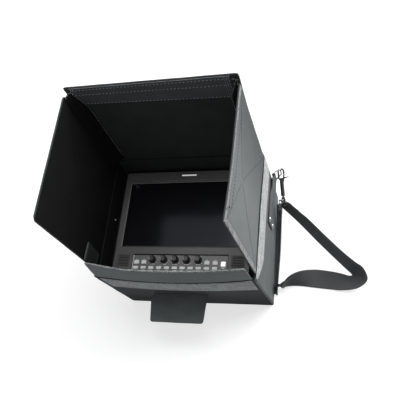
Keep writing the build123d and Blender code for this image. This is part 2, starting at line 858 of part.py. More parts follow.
def hook_shank(collar_y):
    """The turned shank, from the jaw's foot down to the swivel's collar."""
    cap = shank_radius + shank_cap
    neck_high = collar_y + swivel_collar + swivel_gap
    profile = Polyline(
        (0, shank_top),
        (shank_radius * 0.7, shank_top),
        (cap, shank_top - 3 * shank_cap),
        (cap, shank_top - 6 * shank_cap),
        (shank_radius, shank_top - 9 * shank_cap),
        (shank_radius, neck_high),
        (shank_radius / 2, neck_high),
        (shank_radius / 2, collar_y + swivel_collar),
        (shank_radius, collar_y + swivel_collar),
        (shank_radius, collar_y - shank_cap),
        (0, collar_y - shank_cap),
        close=True,
    )
    return revolve(make_face(profile), Axis.Y)


def snap_hook_body():
    """A cast hook: a jaw round the D ring, a slotted shank and a swivel eye below."""
    eye_y = -hook_span().length
    eye_bore = wire + 3 * wire_clearance
    crown = wire + hook_wire + 3 * wire_clearance
    gate_x = gate_pin_x + gate_lean
    foot = (hook_back + shank_radius + 0.4, jaw_foot - shank_radius)
    points = [foot, (hook_back, jaw_foot), (hook_back, crown), (gate_x, crown), (gate_x, jaw_opening)]
    jaw = wire_path(points, hook_bends, hook_wire)
    eye = place(Cylinder(eye_bore + eye_wall, eye_height), y=eye_y)
    body = jaw + hook_shank(eye_y + eye_bore + eye_wall) + eye
    body -= place(Cylinder(eye_bore, 3 * eye_height), y=eye_y)
    slot_width = gate_thickness + 2 * wire_clearance
    slot = Pos(gate_slot_width / 2, gate_slot_y, 0) * Box(gate_slot_width, gate_slot_depth, slot_width)
    pin = Pos(gate_pin_x, gate_pin_y, 0) * Cylinder(gate_pin, gate_thickness + 3 * gate_pin)
    return body - slot + pin


def snap_hook_gate():
    """The sprung gate that closes the jaw, with the lug that a thumb pushes."""
    x, y = gate_pin_x, gate_pin_y
    tip_x = x + gate_lean
    tip = gate_thickness / 2
    bar = Polygon(
        (x - gate_half, y), (x + gate_half, y), (tip_x + tip, gate_tip), (tip_x - tip, gate_tip), align=None
    )
    lug = Polygon(*gate_lug, align=None)
    outline = bar + Pos(x, y) * Circle(gate_boss) + lug
    solid = extrude(outline, gate_thickness / 2, both=True)
    return solid - Pos(x, y, 0) * Cylinder(gate_pin + wire_clearance / 2, gate_thickness * 2)


def strap_edges():
    """Each station of the webbing's two edges, from the upper ring to the lower one."""
    start = Vector(webbing_face(), webbing_top_y, 0)
    return [(start + Vector(*a), start + Vector(*b)) for a, b in zip(strap_lower_edge, strap_upper_edge)]


def ribbon(edges, thickness):
    """A band of even thickness lofted through pairs of edge points."""
    middles = [(a + b) * 0.5 for a, b in edges]
    sections = []
    for i, (a, b) in enumerate(edges):
        forward = middles[min(i + 1, len(edges) - 1)] - middles[max(i - 1, 0)]
        normal = forward.cross(b - a).normalized() * (thickness / 2)
        sections.append(Face(Wire.make_polygon([a - normal, b - normal, b + normal, a + normal])))
    return loft(sections, ruled=True)


def ring_plane(edge, towards):
    """The plane of a strap ring: X along its long bar, just beyond the strap, Y to its short bar."""
    a, b = edge
    along = (b - a).normalized()
    out = (towards - along * towards.dot(along)).normalized()
    gap = wire + wire_clearance
    return Plane(origin=(a + b) * 0.5 + out * gap, x_dir=along, z_dir=along.cross(out))


def upper_ring_plane():
    """The upper strap ring points from the strap up to the D ring."""
    edge = strap_edges()[0]
    return ring_plane(edge, ring_tip() - (edge[0] + edge[1]) * 0.5)


def lower_ring_plane():
    """The lower strap ring points at the right wall."""
    return ring_plane(strap_edges()[-1], Vector(-1, 0, 0))


def shoulder_strap():
    """The strap, with each end folded round the long bar of its ring."""
    bore = wire + wire_clearance
    strap = ribbon(strap_edges(), strap_thickness)
    length = strap_width - strap_fold_inset
    for plane in (upper_ring_plane(), lower_ring_plane()):
        fold = plane * Rot(0, 90, 0) * Cylinder(bore + strap_thickness, length)
        strap = strap + fold - plane * Rot(0, 90, 0) * Cylinder(bore, strap_width + 2 * bore)
    return strap


def strap_anchor():
    """A folded tab, sewn to the right wall, that holds the lower ring's short bar."""
    plane = lower_ring_plane()
    eye = wire + wire_clearance
    width = ring_top - 2.8 * wire
    tube = Pos(-width / 2, ring_depth, 0) * Rot(0, 90, 0) * extrude(Circle(eye + 1.2) - Circle(eye), width)
    reach = plane.origin.X - ring_depth - eye - webbing_face() + band_clearance
    arm = Pos(0, ring_depth + eye + reach / 2, 0) * Box(width, reach, 2.2)
    return plane * (tube + arm)


def strap_parts():
    """The shoulder strap, its two rings and the sewn tab that holds the lower ring."""
    return {
        "shoulder_strap": shoulder_strap(),
        "strap_ring_upper": upper_ring_plane() * trapezoid_ring(),
        "strap_ring_lower": lower_ring_plane() * trapezoid_ring(),
        "strap_anchor": strap_anchor(),
    }


def webbing_rivets():
    """Two domed rivets through the webbing's lower end."""
    x = webbing_face() + webbing_thickness
    rivets = []
    block = Pos(0, 0, rivet_radius * 1.6) * Box(6 * rivet_radius, 6 * rivet_radius, rivet_radius * 2)
    dome = Sphere(rivet_radius * 1.25) & block
    for offset in rivet_offsets:
        z = webbing_z + offset
        rivets.append(Pos(x - rivet_radius * 0.6, webbing_low_y + rivet_rise, z) * Rot(0, 90, 0) * dome)
    return Compound(children=rivets)


# ---- Zip -----------------------------------------------------------------------------


def teeth_x():
    """The middle of the zip's row of teeth."""
    return half_width + zip_stand


def zip_strip():
    """The tape that stands out from the back's right edge, ending in its row of teeth."""
    length = 2 * zip_reach
    root = half_width + band_clearance + side_bow * zip_z / right_rim
    tape = place(Box(teeth_x() - root, length, zip_tape), (root + teeth_x()) / 2, 0, zip_z)
    teeth = Pos(teeth_x(), 0, zip_z) * Rot(90, 0, 0) * Cylinder(zip_teeth, length)
    thick = zip_teeth * 2.2
    stops = [Pos(teeth_x(), y, zip_z) * Box(thick, zip_stop, thick) for y in (-zip_reach, zip_reach)]
    return tape + teeth + stops[0] + stops[1]


def pull_axis_z():
    """Height of the pin that the zip's pull turns on."""
    return zip_z + zip_teeth + slider_clearance + slider_wall + pin_rise


def zip_slider():
    """The slider: two plates round the teeth, joined on the outside, with a bridge for the pull."""
    reach = zip_teeth + slider_clearance
    top = reach + slider_wall
    body = Box(2 * top, slider_length, 2 * top)
    body = fillet(body.edges().filter_by(Axis.Z), slider_corner)
    body -= Pos(-slider_wall, 0, 0) * Box(2 * top, slider_length, 2 * reach)
    for side in (-1, 1):
        x = side * (pull_width - ear_size[0] / 2) / 2
        body += Pos(x, -pin_shift, top + ear_rise) * Box(*ear_size)
    pin = Pos(0, -pin_shift, pull_axis_z() - zip_z) * Rot(0, 90, 0) * Cylinder(pin_radius, pull_width)
    return place(body + pin, teeth_x(), slider_y, zip_z)


def zip_pull():
    """The pull, whose narrow eye turns on the slider's pin between its ears."""
    neck_width = pull_width - 2 * ear_size[0] - 2 * slider_clearance
    eye = Rot(0, 90, 0) * (Cylinder(pull_eye, neck_width) - Cylinder(pull_bore, neck_width))
    neck_low = pull_bore + 0.15
    neck_length = pull_neck + 0.3 - neck_low
    neck = Pos(0, neck_low + neck_length / 2, 0) * Box(neck_width, neck_length, pull_thickness)
    paddle_length = pull_length - pull_neck
    paddle = Pos(0, pull_neck + paddle_length / 2, 0) * Box(pull_width, paddle_length, pull_thickness)
    paddle = fillet(paddle.edges().filter_by(Axis.Z), pull_corner)
    window = Pos(0, pull_length - pull_window[1], 0) * Box(*pull_window, 2 * pull_thickness)
    return place(eye + neck + paddle - window, teeth_x(), slider_y - pin_shift, pull_axis_z())


# ---- The whole -----------------------------------------------------------------------


def hood_parts():
    """The hood's panels, bands, tabs and corner strips, open for use."""
    return {
        "hood_lid": hood_lid(),
        "lid_front_band": lid_front_band(),
        "hood_left_panel": side_panel(left_rim, -1, 0.0),
        "hood_right_panel": side_panel(right_rim, 1, right_lean),
        "hood_lip": hood_lip(),
        "lip_tab_left": lip_tab(left_rim, -1, 0.0),
        "lip_tab_right": lip_tab(right_rim, 1, right_lean),
        "corner_strips": corner_strips(),
        "bottom_flap": bottom_flap(),
    }


def monitor_parts():
    """The monitor, from its front casing back to its main board."""
    nodes = {
        "monitor_bezel": bezel(),
        "monitor_rear_shell": rear_shell(),
        "control_plate": control_plate(),
        "control_board": control_board(),
        "main_board": main_board(),
        "tally_lens": tally_lens(),
    }
    nodes.update(screen())
    nodes.update(speaker_parts())
    nodes.update(keys())
    for i, (x, y) in enumerate(knob_places()):
        nodes[f"knob_{i + 1}"] = knob(x, y)
    return nodes


def hardware_parts():
    """Webbing, rings, snap hook, strap and zip."""
    nodes = {
        "side_webbing": side_webbing(),
        "webbing_rivets": webbing_rivets(),
        "d_ring": d_ring(),
        "snap_hook_body": hook_plane() * snap_hook_body(),
        "snap_hook_gate": hook_plane() * snap_hook_gate(),
        "zip_strip": zip_strip(),
        "zip_slider": zip_slider(),
        "zip_pull": zip_pull(),
    }
    nodes.update(strap_parts())
    return nodes


def write_parts(nodes):
    """Write each node to its own STEP file."""
    os.makedirs("parts", exist_ok=True)
    for name, shape in nodes.items():
        shape.label = name
        export_step(shape, f"parts/{name}.step")


def main():
    nodes = case_walls()
    nodes["loop_band"] = loop_band()
    nodes.update(padding())
    nodes.update(hood_parts())
    nodes.update(monitor_parts())
    nodes.update(hardware_parts())
    write_parts(nodes)


main()
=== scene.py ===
"""Looks of a camera field monitor in a soft case whose front opens into a sun hood.

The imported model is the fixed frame: +Z out of the screen, +Y to the monitor's top, the
case lying on its back. The classes' lengths are millimetres, and meshes are in metres.
"""

import logging
import math
from dataclasses import dataclass, field
from enum import Enum
from typing import Callable, Optional, Sequence, Union

import bmesh
import bpy
from mathutils import Matrix, Vector, noise


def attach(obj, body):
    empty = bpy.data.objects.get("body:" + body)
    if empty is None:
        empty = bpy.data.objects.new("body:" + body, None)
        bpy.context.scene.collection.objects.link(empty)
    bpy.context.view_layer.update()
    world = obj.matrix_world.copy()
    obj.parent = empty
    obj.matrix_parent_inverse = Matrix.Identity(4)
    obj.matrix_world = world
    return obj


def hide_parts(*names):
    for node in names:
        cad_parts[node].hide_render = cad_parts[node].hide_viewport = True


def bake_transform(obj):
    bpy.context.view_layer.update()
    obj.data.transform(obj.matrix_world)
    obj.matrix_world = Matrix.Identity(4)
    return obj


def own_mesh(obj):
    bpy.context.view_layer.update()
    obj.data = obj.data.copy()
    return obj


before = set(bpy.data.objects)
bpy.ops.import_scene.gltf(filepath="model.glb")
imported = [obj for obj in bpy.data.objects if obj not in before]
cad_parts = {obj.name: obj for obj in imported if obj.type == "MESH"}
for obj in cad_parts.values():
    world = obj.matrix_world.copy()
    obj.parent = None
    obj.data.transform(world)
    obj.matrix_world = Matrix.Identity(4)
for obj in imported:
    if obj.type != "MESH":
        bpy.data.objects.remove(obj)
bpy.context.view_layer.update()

LOG = logging.getLogger("field_monitor")
MM = 0.001
Term = Union["Value", int, float]
Pair = tuple[float, float]
Triple = tuple[float, float, float]
Place = Callable[[float, float], Vector]
Edges = Sequence[tuple[Vector, Vector]]
OBJECT = bpy.types.Object


# ---- Shader expressions ----------------------------------------------------------------


class Value:
    """A node's output that takes part in Python expressions."""

    def __init__(self, nodes: "Nodes", socket: bpy.types.NodeSocket) -> None:
        """Wrap an output socket of a node tree."""
        self.nodes = nodes
        self.socket = socket

    def maths(self, operation: str, *values: Term) -> "Value":
        """One Math node's result."""
        return self.nodes.node("ShaderNodeMath", {"operation": operation}, dict(enumerate(values)))

    def __add__(self, other: Term) -> "Value":
        """Sum."""
        return self.maths("ADD", self, other)

    __radd__ = __add__

    def __mul__(self, other: Term) -> "Value":
        """Product."""
        return self.maths("MULTIPLY", self, other)

    __rmul__ = __mul__

    def __sub__(self, other: Term) -> "Value":
        """Difference."""
        return self.maths("SUBTRACT", self, other)

    def __rsub__(self, other: Term) -> "Value":
        """A number less this value."""
        return self.maths("SUBTRACT", other, self)

    def sine(self) -> "Value":
        """Sine of the value in radians."""
        return self.maths("SINE", self)

    def at_most(self, other: Term) -> "Value":
        """The smaller of two values."""
        return self.maths("MINIMUM", self, other)

    def ramp(self, low: float, high: float) -> "Value":
        """The value's place between low and high, kept from 0 to 1."""
        inputs = {"Value": self, "From Min": low, "From Max": high}
        return self.nodes.node("ShaderNodeMapRange", {"clamp": True}, inputs)


class Nodes:
    """A node tree while its nodes are made."""

    def __init__(self, tree: bpy.types.NodeTree) -> None:
        """Work on a material's or the world's node tree."""
        self.tree = tree

    def node(
        self, kind: str, settings: Optional[dict] = None, inputs: Optional[dict] = None,
        output: Union[int, str] = 0,
    ) -> Value:
        """Add a node.

        Args:
            kind: The node's type.
            settings: What is set first, such as an operation.
            inputs: Values or links of its sockets, by name or number.
            output: The socket to return.

        Returns:
            That output.
        """
        made = self.tree.nodes.new(kind)
        for key, value in (settings or {}).items():
            setattr(made, key, value)
        for key, value in (inputs or {}).items():
            self.feed(made.inputs[key], value)
        return Value(self, made.outputs[output])

    def feed(self, socket: bpy.types.NodeSocket, value: Union[Term, Sequence[float]]) -> None:
        """Link a value to a socket, or set the socket.

        Args:
            socket: The input.
            value: A wrapped socket, a number or a colour.
        """
        if isinstance(value, Value):
            self.tree.links.new(value.socket, socket)
        else:
            socket.default_value = (*value, 1.0) if socket.type == "RGBA" else value

    def mix(self, share: Term, first: Union[Value, Triple], second: Union[Value, Triple]) -> Value:
        """A mix of two colours, by the share of the second."""
        return self.node("ShaderNodeMix", {"data_type": "RGBA"}, {0: share, 6: first, 7: second}, 2)

    def background(self) -> Value:
        """1 for the rays that show the surroundings: seen directly, mirrored or through glass."""
        kinds = ("Is Camera Ray", "Is Glossy Ray", "Is Transmission Ray")
        seen, mirrored, through = [self.node("ShaderNodeLightPath", output=kind) for kind in kinds]
        return (seen + mirrored + through).at_most(1.0)


class Shader(Nodes):
    """A material while its nodes are made."""

    def __init__(self, name: str) -> None:
        """Start a material with its Principled shader.

        Args:
            name: The material's name.
        """
        self.material = bpy.data.materials.new(name)
        self.material.use_nodes = True
        super().__init__(self.material.node_tree)

    def done(self, inputs: dict) -> bpy.types.Material:
        """Feed the Principled shader.

        Args:
            inputs: Values by the inputs' names.

        Returns:
            The material.
        """
        for name, value in inputs.items():
            self.feed(self.tree.nodes["Principled BSDF"].inputs[name], value)
        return self.material

    def noise(self, scale: float, detail: float = 2.0, where: Optional[Value] = None) -> Value:
        """Cloudy noise about 0.5, by features per metre and octaves, in the piece's own space."""
        place = where or self.node("ShaderNodeTexCoord", output="Object")
        return self.node("ShaderNodeTexNoise", {}, {"Vector": place, "Scale": scale, "Detail": detail}, "Fac")

    def cloth_axes(self) -> list[Value]:
        """The cloth coordinates, in millimetres along its two threads."""
        split = {"Vector": self.node("ShaderNodeTexCoord", output="UV")}
        return [self.node("ShaderNodeSeparateXYZ", {}, split, axis) * 1000.0 for axis in "XY"]

    def bump(self, height: Value, depth: float, strength: float = 1.0) -> Value:
        """The normal of a relief whose height runs from 0 to 1 over a depth in millimetres."""
        inputs = {"Height": height, "Distance": depth * MM, "Strength": strength}
        return self.node("ShaderNodeBump", {}, inputs)


def shade(colour: Triple, factor: float) -> Triple:
    """A colour made lighter or darker, each part at most 1."""
    return tuple(min(part * factor, 1.0) for part in colour)


# ---- Finishes --------------------------------------------------------------------------


@dataclass(frozen=True)
class ShadeRamp:
    """Painted shade: the cloth's colour darkened towards one end of the piece, standing in for shade that
    falls there.
    """

    axis: str
    start: float
    end: float
    # dull is the colour's factor at the shaded end of the painted shade.
    dull: float


@dataclass(frozen=True)
class WovenCloth:
    """Cloth woven from two sets of threads, with a little dust and wear, and on some finishes painted shade
    towards one end.
    """

    name: str
    colour: Triple
    pitch: float = 1.1
    relief: float = 0.25
    roughness: float = 0.72
    mottle: float = 0.25
    specular: float = 0.25
    rib: bool = False
    painted_shade: Optional[ShadeRamp] = None

    def make(self) -> bpy.types.Material:
        """Build the material."""
        shader = Shader(self.name)
        across, along = shader.cloth_axes()
        turns = 2 * math.pi / self.pitch
        if self.rib:
            threads = (along * turns + (across * turns * 0.5).sine() * 0.6).sine() * 0.5 + 0.5
        else:
            threads = (across * turns).sine() * (along * turns).sine() * 0.5 + 0.5
        clouds = shader.noise(28.0, 4.0)
        grit = shader.noise(420.0, 2.0)
        share = (threads * 0.35 + clouds * 0.9 + grit * 0.5 - 0.55).ramp(0.0, 0.9)
        dark, pale = shade(self.colour, 1.0 - self.mottle), shade(self.colour, 1.0 + self.mottle)
        colour = shader.mix(share, dark, pale)
        # Painted shade: darken the colour towards one end of the piece.
        if self.painted_shade:
            place = shader.node("ShaderNodeTexCoord", output="Object")
            height = shader.node("ShaderNodeSeparateXYZ", {}, {"Vector": place}, self.painted_shade.axis)
            shaded_share = height.ramp(self.painted_shade.start, self.painted_shade.end)
            colour = shader.mix(shaded_share, colour, shade(self.colour, self.painted_shade.dull))
        return shader.done({
            "Base Color": colour, "Roughness": grit * 0.16 + (self.roughness - 0.08),
            "Specular IOR Level": self.specular,
            "Normal": shader.bump(threads * 0.7 + grit * 0.5, self.relief),
        })


@dataclass(frozen=True)
class LoopPile:
    """Brushed loop fabric: speckled fibres that stand up unevenly."""

    name: str
    dark: Triple
    pale: Triple
    grain: float = 330.0

    def make(self) -> bpy.types.Material:
        """Build the material."""
        shader = Shader(self.name)
        fibres = shader.noise(self.grain, 4.0)
        patches = shader.noise(60.0, 3.0)
        share = (fibres * 2.2 + patches * 0.6 - 0.9).ramp(0.15, 0.85)
        return shader.done({
            "Base Color": shader.mix(share, self.dark, self.pale), "Roughness": 0.92,
            "Specular IOR Level": 0.15, "Normal": shader.bump(fibres, 1.1),
        })


@dataclass(frozen=True)
class Moulding:
    """Moulded plastic or rubber with a fine spark texture."""

    name: str
    colour: Triple
    roughness: float = 0.5
    grain: float = 900.0
    depth: float = 0.05
    wear: float = 0.12
    specular: float = 0.4

    def make(self) -> bpy.types.Material:
        """Build the material."""
        shader = Shader(self.name)
        spark = shader.noise(self.grain, 2.0)
        clouds = shader.noise(35.0, 3.0)
        low, high = shade(self.colour, 1.0 - self.wear), shade(self.colour, 1.0 + self.wear)
        return shader.done({
            "Base Color": shader.mix(clouds.ramp(0.3, 0.7), low, high),
            "Roughness": spark * 0.14 + clouds * 0.1 + (self.roughness - 0.12),
            "Specular IOR Level": self.specular, "Normal": shader.bump(spark, self.depth),
        })


@dataclass(frozen=True)
class Plating:
    """Polished or satin metal with fine scratches and dull patches."""

    name: str
    colour: Triple
    roughness: float = 0.12
    scratch: float = 0.12

    def make(self) -> bpy.types.Material:
        """Build the material."""
        shader = Shader(self.name)
        place = shader.node("ShaderNodeTexCoord", output="Object")
        stretch = {"Vector": place, "Scale": (900.0, 900.0, 60.0)}
        lines = shader.noise(1.0, 3.0, shader.node("ShaderNodeMapping", {}, stretch))
        dull = shader.noise(90.0, 3.0)
        return shader.done({
            "Base Color": shader.mix(dull.ramp(0.35, 0.75), self.colour, shade(self.colour, 0.8)),
            "Metallic": 1.0, "Roughness": lines * self.scratch + dull * 0.1 + self.roughness,
            "Normal": shader.bump(lines, 0.01, 0.4),
        })


@dataclass(frozen=True)
class ScreenGlass:
    """Dark coated filter glass with faint smears."""

    name: str
    colour: Triple
    tint: Triple = (0.80, 0.88, 1.0)

    def make(self) -> bpy.types.Material:
        """Build the material."""
        shader = Shader(self.name)
        smears = shader.noise(24.0, 4.0)
        colour = shader.mix(smears.ramp(0.3, 0.8), shade(self.colour, 0.9), self.colour)
        rough = smears * 0.06 + 0.11
        return shader.done({
            "Base Color": colour, "Roughness": rough, "Specular IOR Level": 0.23, "Specular Tint": self.tint,
        })


@dataclass(frozen=True)
class Legend:
    """A pale lens, cap or printed mark that stands out from what is round it, some with a painted glow that
    makes them shine by themselves though nothing in them is lit.
    """

    name: str
    colour: Triple
    painted_glow: float = 0.0
    roughness: float = 0.4

    def make(self) -> bpy.types.Material:
        """Build the material."""
        shader = Shader(self.name)
        clouds = shader.noise(600.0, 2.0)
        colour = shader.mix(clouds.ramp(0.2, 0.8), shade(self.colour, 0.94), self.colour)
        # Painted glow: emission that makes the piece shine by itself.
        painted_glow = {"Emission Color": self.colour, "Emission Strength": self.painted_glow}
        return shader.done({"Base Color": colour, "Roughness": clouds * 0.1 + self.roughness, **painted_glow})


MADE: dict[str, bpy.types.Material] = {}


class Finish(Enum):
    """Every finish on the monitor and its case."""

    CASE_NYLON = WovenCloth("case_nylon", (0.103, 0.112, 0.114), mottle=0.2)
    # Painted shade: a darker copy of the case nylon for the bottom wall, darker still towards the back, where
    # the wall lies in shade.
    SHADED_BASE_NYLON = WovenCloth(
        "shaded_base_nylon", (0.070, 0.077, 0.082), mottle=0.3, specular=0.04, painted_shade=ShadeRamp("Z", 0.11, 0.02, 0.22)
    )
    # Painted shade: a copy of the hood nylon, a touch lighter, for the right panel's outside, darkened
    # towards its top where the panel is shaded.
    SHADED_SIDE_NYLON = WovenCloth(
        "shaded_side_nylon", (0.130, 0.144, 0.144), 0.9, 0.15, mottle=0.14, painted_shade=ShadeRamp("Y", -0.01, 0.085, 0.36)
    )
    HOOD_NYLON = WovenCloth("hood_nylon", (0.125, 0.138, 0.138), 0.9, 0.15, mottle=0.14)
    LIP_NYLON = WovenCloth("lip_nylon", (0.125, 0.142, 0.143), 0.9, 0.15, mottle=0.12)
    LINING = WovenCloth("hood_lining", (0.0078, 0.0080, 0.0080), 0.8, 0.12, 0.85, specular=0.06)
    # Painted light: a lighter copy of the hood lining for the lid's inside and the case's top wall inside,
    # which lie in shade.
    LIT_LINING = WovenCloth("lit_lining", (0.034, 0.0345, 0.035), 0.8, 0.12, specular=0.06)
    FLAP_NYLON = WovenCloth("flap_nylon", (0.086, 0.094, 0.095), 1.2, 0.3, mottle=0.22)
    NET = WovenCloth("corner_net", (0.0050, 0.0050, 0.0056), 2.2, 0.6, 0.8, specular=0.06)
    HOOK_TAPE = WovenCloth("hook_tape", (0.021, 0.022, 0.023), 1.4, 0.35, specular=0.15)
    HOOD_BAND = WovenCloth("hood_band", (0.052, 0.055, 0.058), 1.0, 0.2, mottle=0.2)
    BAND_HEM = WovenCloth("band_hem", (0.205, 0.21, 0.215), 0.9, 0.2)
    WEBBING = WovenCloth("strap_webbing", (0.040, 0.042, 0.044), 1.8, 0.4, rib=True)
    WALL_WEBBING = WovenCloth("wall_webbing", (0.090, 0.097, 0.097), 1.8, 0.3, rib=True)
    BINDING = LoopPile("binding_tape", (0.085, 0.092, 0.093), (0.36, 0.37, 0.37), 460.0)
    # Dark binding tape; on the left panel's and the lid's front edges it is painted shade of the paler tape
    # that BINDING gives the right panel.
    DARK_BINDING = WovenCloth("dark_binding", (0.030, 0.032, 0.033), 1.0, 0.3)
    # Near-black binding on the case's rolled rim: its own dark tape, darkened further as painted shadow of
    # the gap between the rim and the hood's lip.
    SHADED_RIM_BINDING = WovenCloth("shaded_rim_binding", (0.010, 0.011, 0.012), 1.0, 0.3, specular=0.1)
    LOOP_BAND = LoopPile("loop_pile", (0.22, 0.235, 0.235), (0.56, 0.58, 0.58), 420.0)
    THREAD = Moulding("thread", (0.10, 0.105, 0.107), 0.7, 1500.0, 0.03)
    PALE_THREAD = Moulding("pale_thread", (0.30, 0.31, 0.32), 0.7, 1500.0, 0.03)
    DARK_THREAD = Moulding("dark_thread", (0.022, 0.024, 0.025), 0.7, 1500.0, 0.03, specular=0.2)
    FOAM = Moulding("cut_foam", (0.006, 0.006, 0.0065), 0.9, 500.0, 0.4, specular=0.1)
    BEZEL = Moulding("bezel_plastic", (0.037, 0.037, 0.0365), 0.5, 1100.0, 0.04)
    PLATE = Moulding("plate_paint", (0.066, 0.068, 0.066), 0.45, 1100.0, 0.03)
    # Painted highlight: a lighter copy of the bezel plastic for thin strips where the screen's bevel catches
    # light.
    BEVEL_HIGHLIGHT = Moulding("bevel_highlight", (0.10, 0.10, 0.10), 0.4, 1100.0, 0.03)
    SHELL = Moulding("shell_plastic", (0.030, 0.031, 0.032), 0.55)
    KNOB = Moulding("knob_rubber", (0.010, 0.010, 0.011), 0.34, 900.0, 0.03)
    SEAM = Moulding("seam_shadow", (0.004, 0.004, 0.004), 0.7, specular=0.1)
    KEY = Moulding("key_caps", (0.48, 0.49, 0.49), 0.5, 1200.0, 0.02)
    # Painted glow: the power cap and the tally cover shine by themselves though neither is lit.
    POWER_KEY = Legend("power_cap", (0.92, 0.92, 0.91), 0.35)
    TALLY = Legend("tally_cover", (0.92, 0.92, 0.90), 0.25)
    MARK = Legend("pale_marks", (0.62, 0.63, 0.63))
    GRILLE = Moulding("grille_cloth", (0.030, 0.030, 0.031), 0.6)
    CONE = Moulding("paper_cone", (0.012, 0.012, 0.012), 0.8)
    GLASS = ScreenGlass("filter_glass", (0.0040, 0.0040, 0.0048))
    PANEL_BACK = Plating("panel_frame", (0.45, 0.46, 0.47), 0.35)
    BOARD = Moulding("board_lacquer", (0.012, 0.075, 0.035), 0.4, 700.0, 0.08)
    CHROME = Plating("bright_plating", (0.40, 0.40, 0.40), 0.08, 0.08)
    DARK_CHROME = Plating("dark_plating", (0.065, 0.065, 0.068), 0.06, 0.08)
    ZIP_METAL = Plating("zip_plating", (0.06, 0.06, 0.063), 0.24)
    ZIP_COIL = Moulding("zip_nylon", (0.010, 0.010, 0.011), 0.38, 800.0, 0.04)
    ZIP_TAPE = WovenCloth("zip_cloth", (0.014, 0.014, 0.015), 1.0)

    def material(self) -> bpy.types.Material:
        """The finish's material, made once."""
        if self.name not in MADE:
            MADE[self.name] = self.value.make()
        return MADE[self.name]


def dress(nodes: Sequence[str], finish: Finish) -> None:
    """Give CAD nodes a finish.

    Args:
        nodes: The nodes' names.
        finish: The finish.
    """
    for node in nodes:
        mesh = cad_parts[node].data
        mesh.materials.clear()
        mesh.materials.append(finish.material())
        mesh.polygons.foreach_set("material_index", [0] * len(mesh.polygons))
        LOG.info("%s: %s", node, finish.value.name)


# ---- Meshes ----------------------------------------------------------------------------


@dataclass(frozen=True)
class Stitch:
    """A kind of stitch: its finish's number, length, the gap between two and the thread's radius."""

    mark: int
    length: float
    gap: float
    radius: float


def shared(first: float, last: float, step: float) -> list[float]:
    """Evenly spaced values from first to last, no further apart than a step."""
    count = max(1, math.ceil(abs(last - first) / step))
    return [first + (last - first) * i / count for i in range(count + 1)]


def rough(point: Vector, size: float, height: float, seed: float = 0.0) -> float:
    """Smooth repeatable unevenness about 0, by its features' size and height."""
    return height * noise.noise(point / size + Vector((seed, 0.37 * seed, 0.71 * seed)))


def kept(value: float) -> float:
    """A value kept from 0 to 1."""
    return min(max(value, 0.0), 1.0)


def ease(share: float) -> float:
    """A share kept from 0 to 1 and eased at both ends."""
    share = kept(share)
    return share * share * (3 - 2 * share)


def put(name: str, data: bpy.types.ID) -> OBJECT:
    """Link new data into the scene.

    Args:
        name: The object's name.
        data: Its data.

    Returns:
        The object.
    """
    made = bpy.data.objects.new(name, data)
    bpy.context.scene.collection.objects.link(made)
    return made


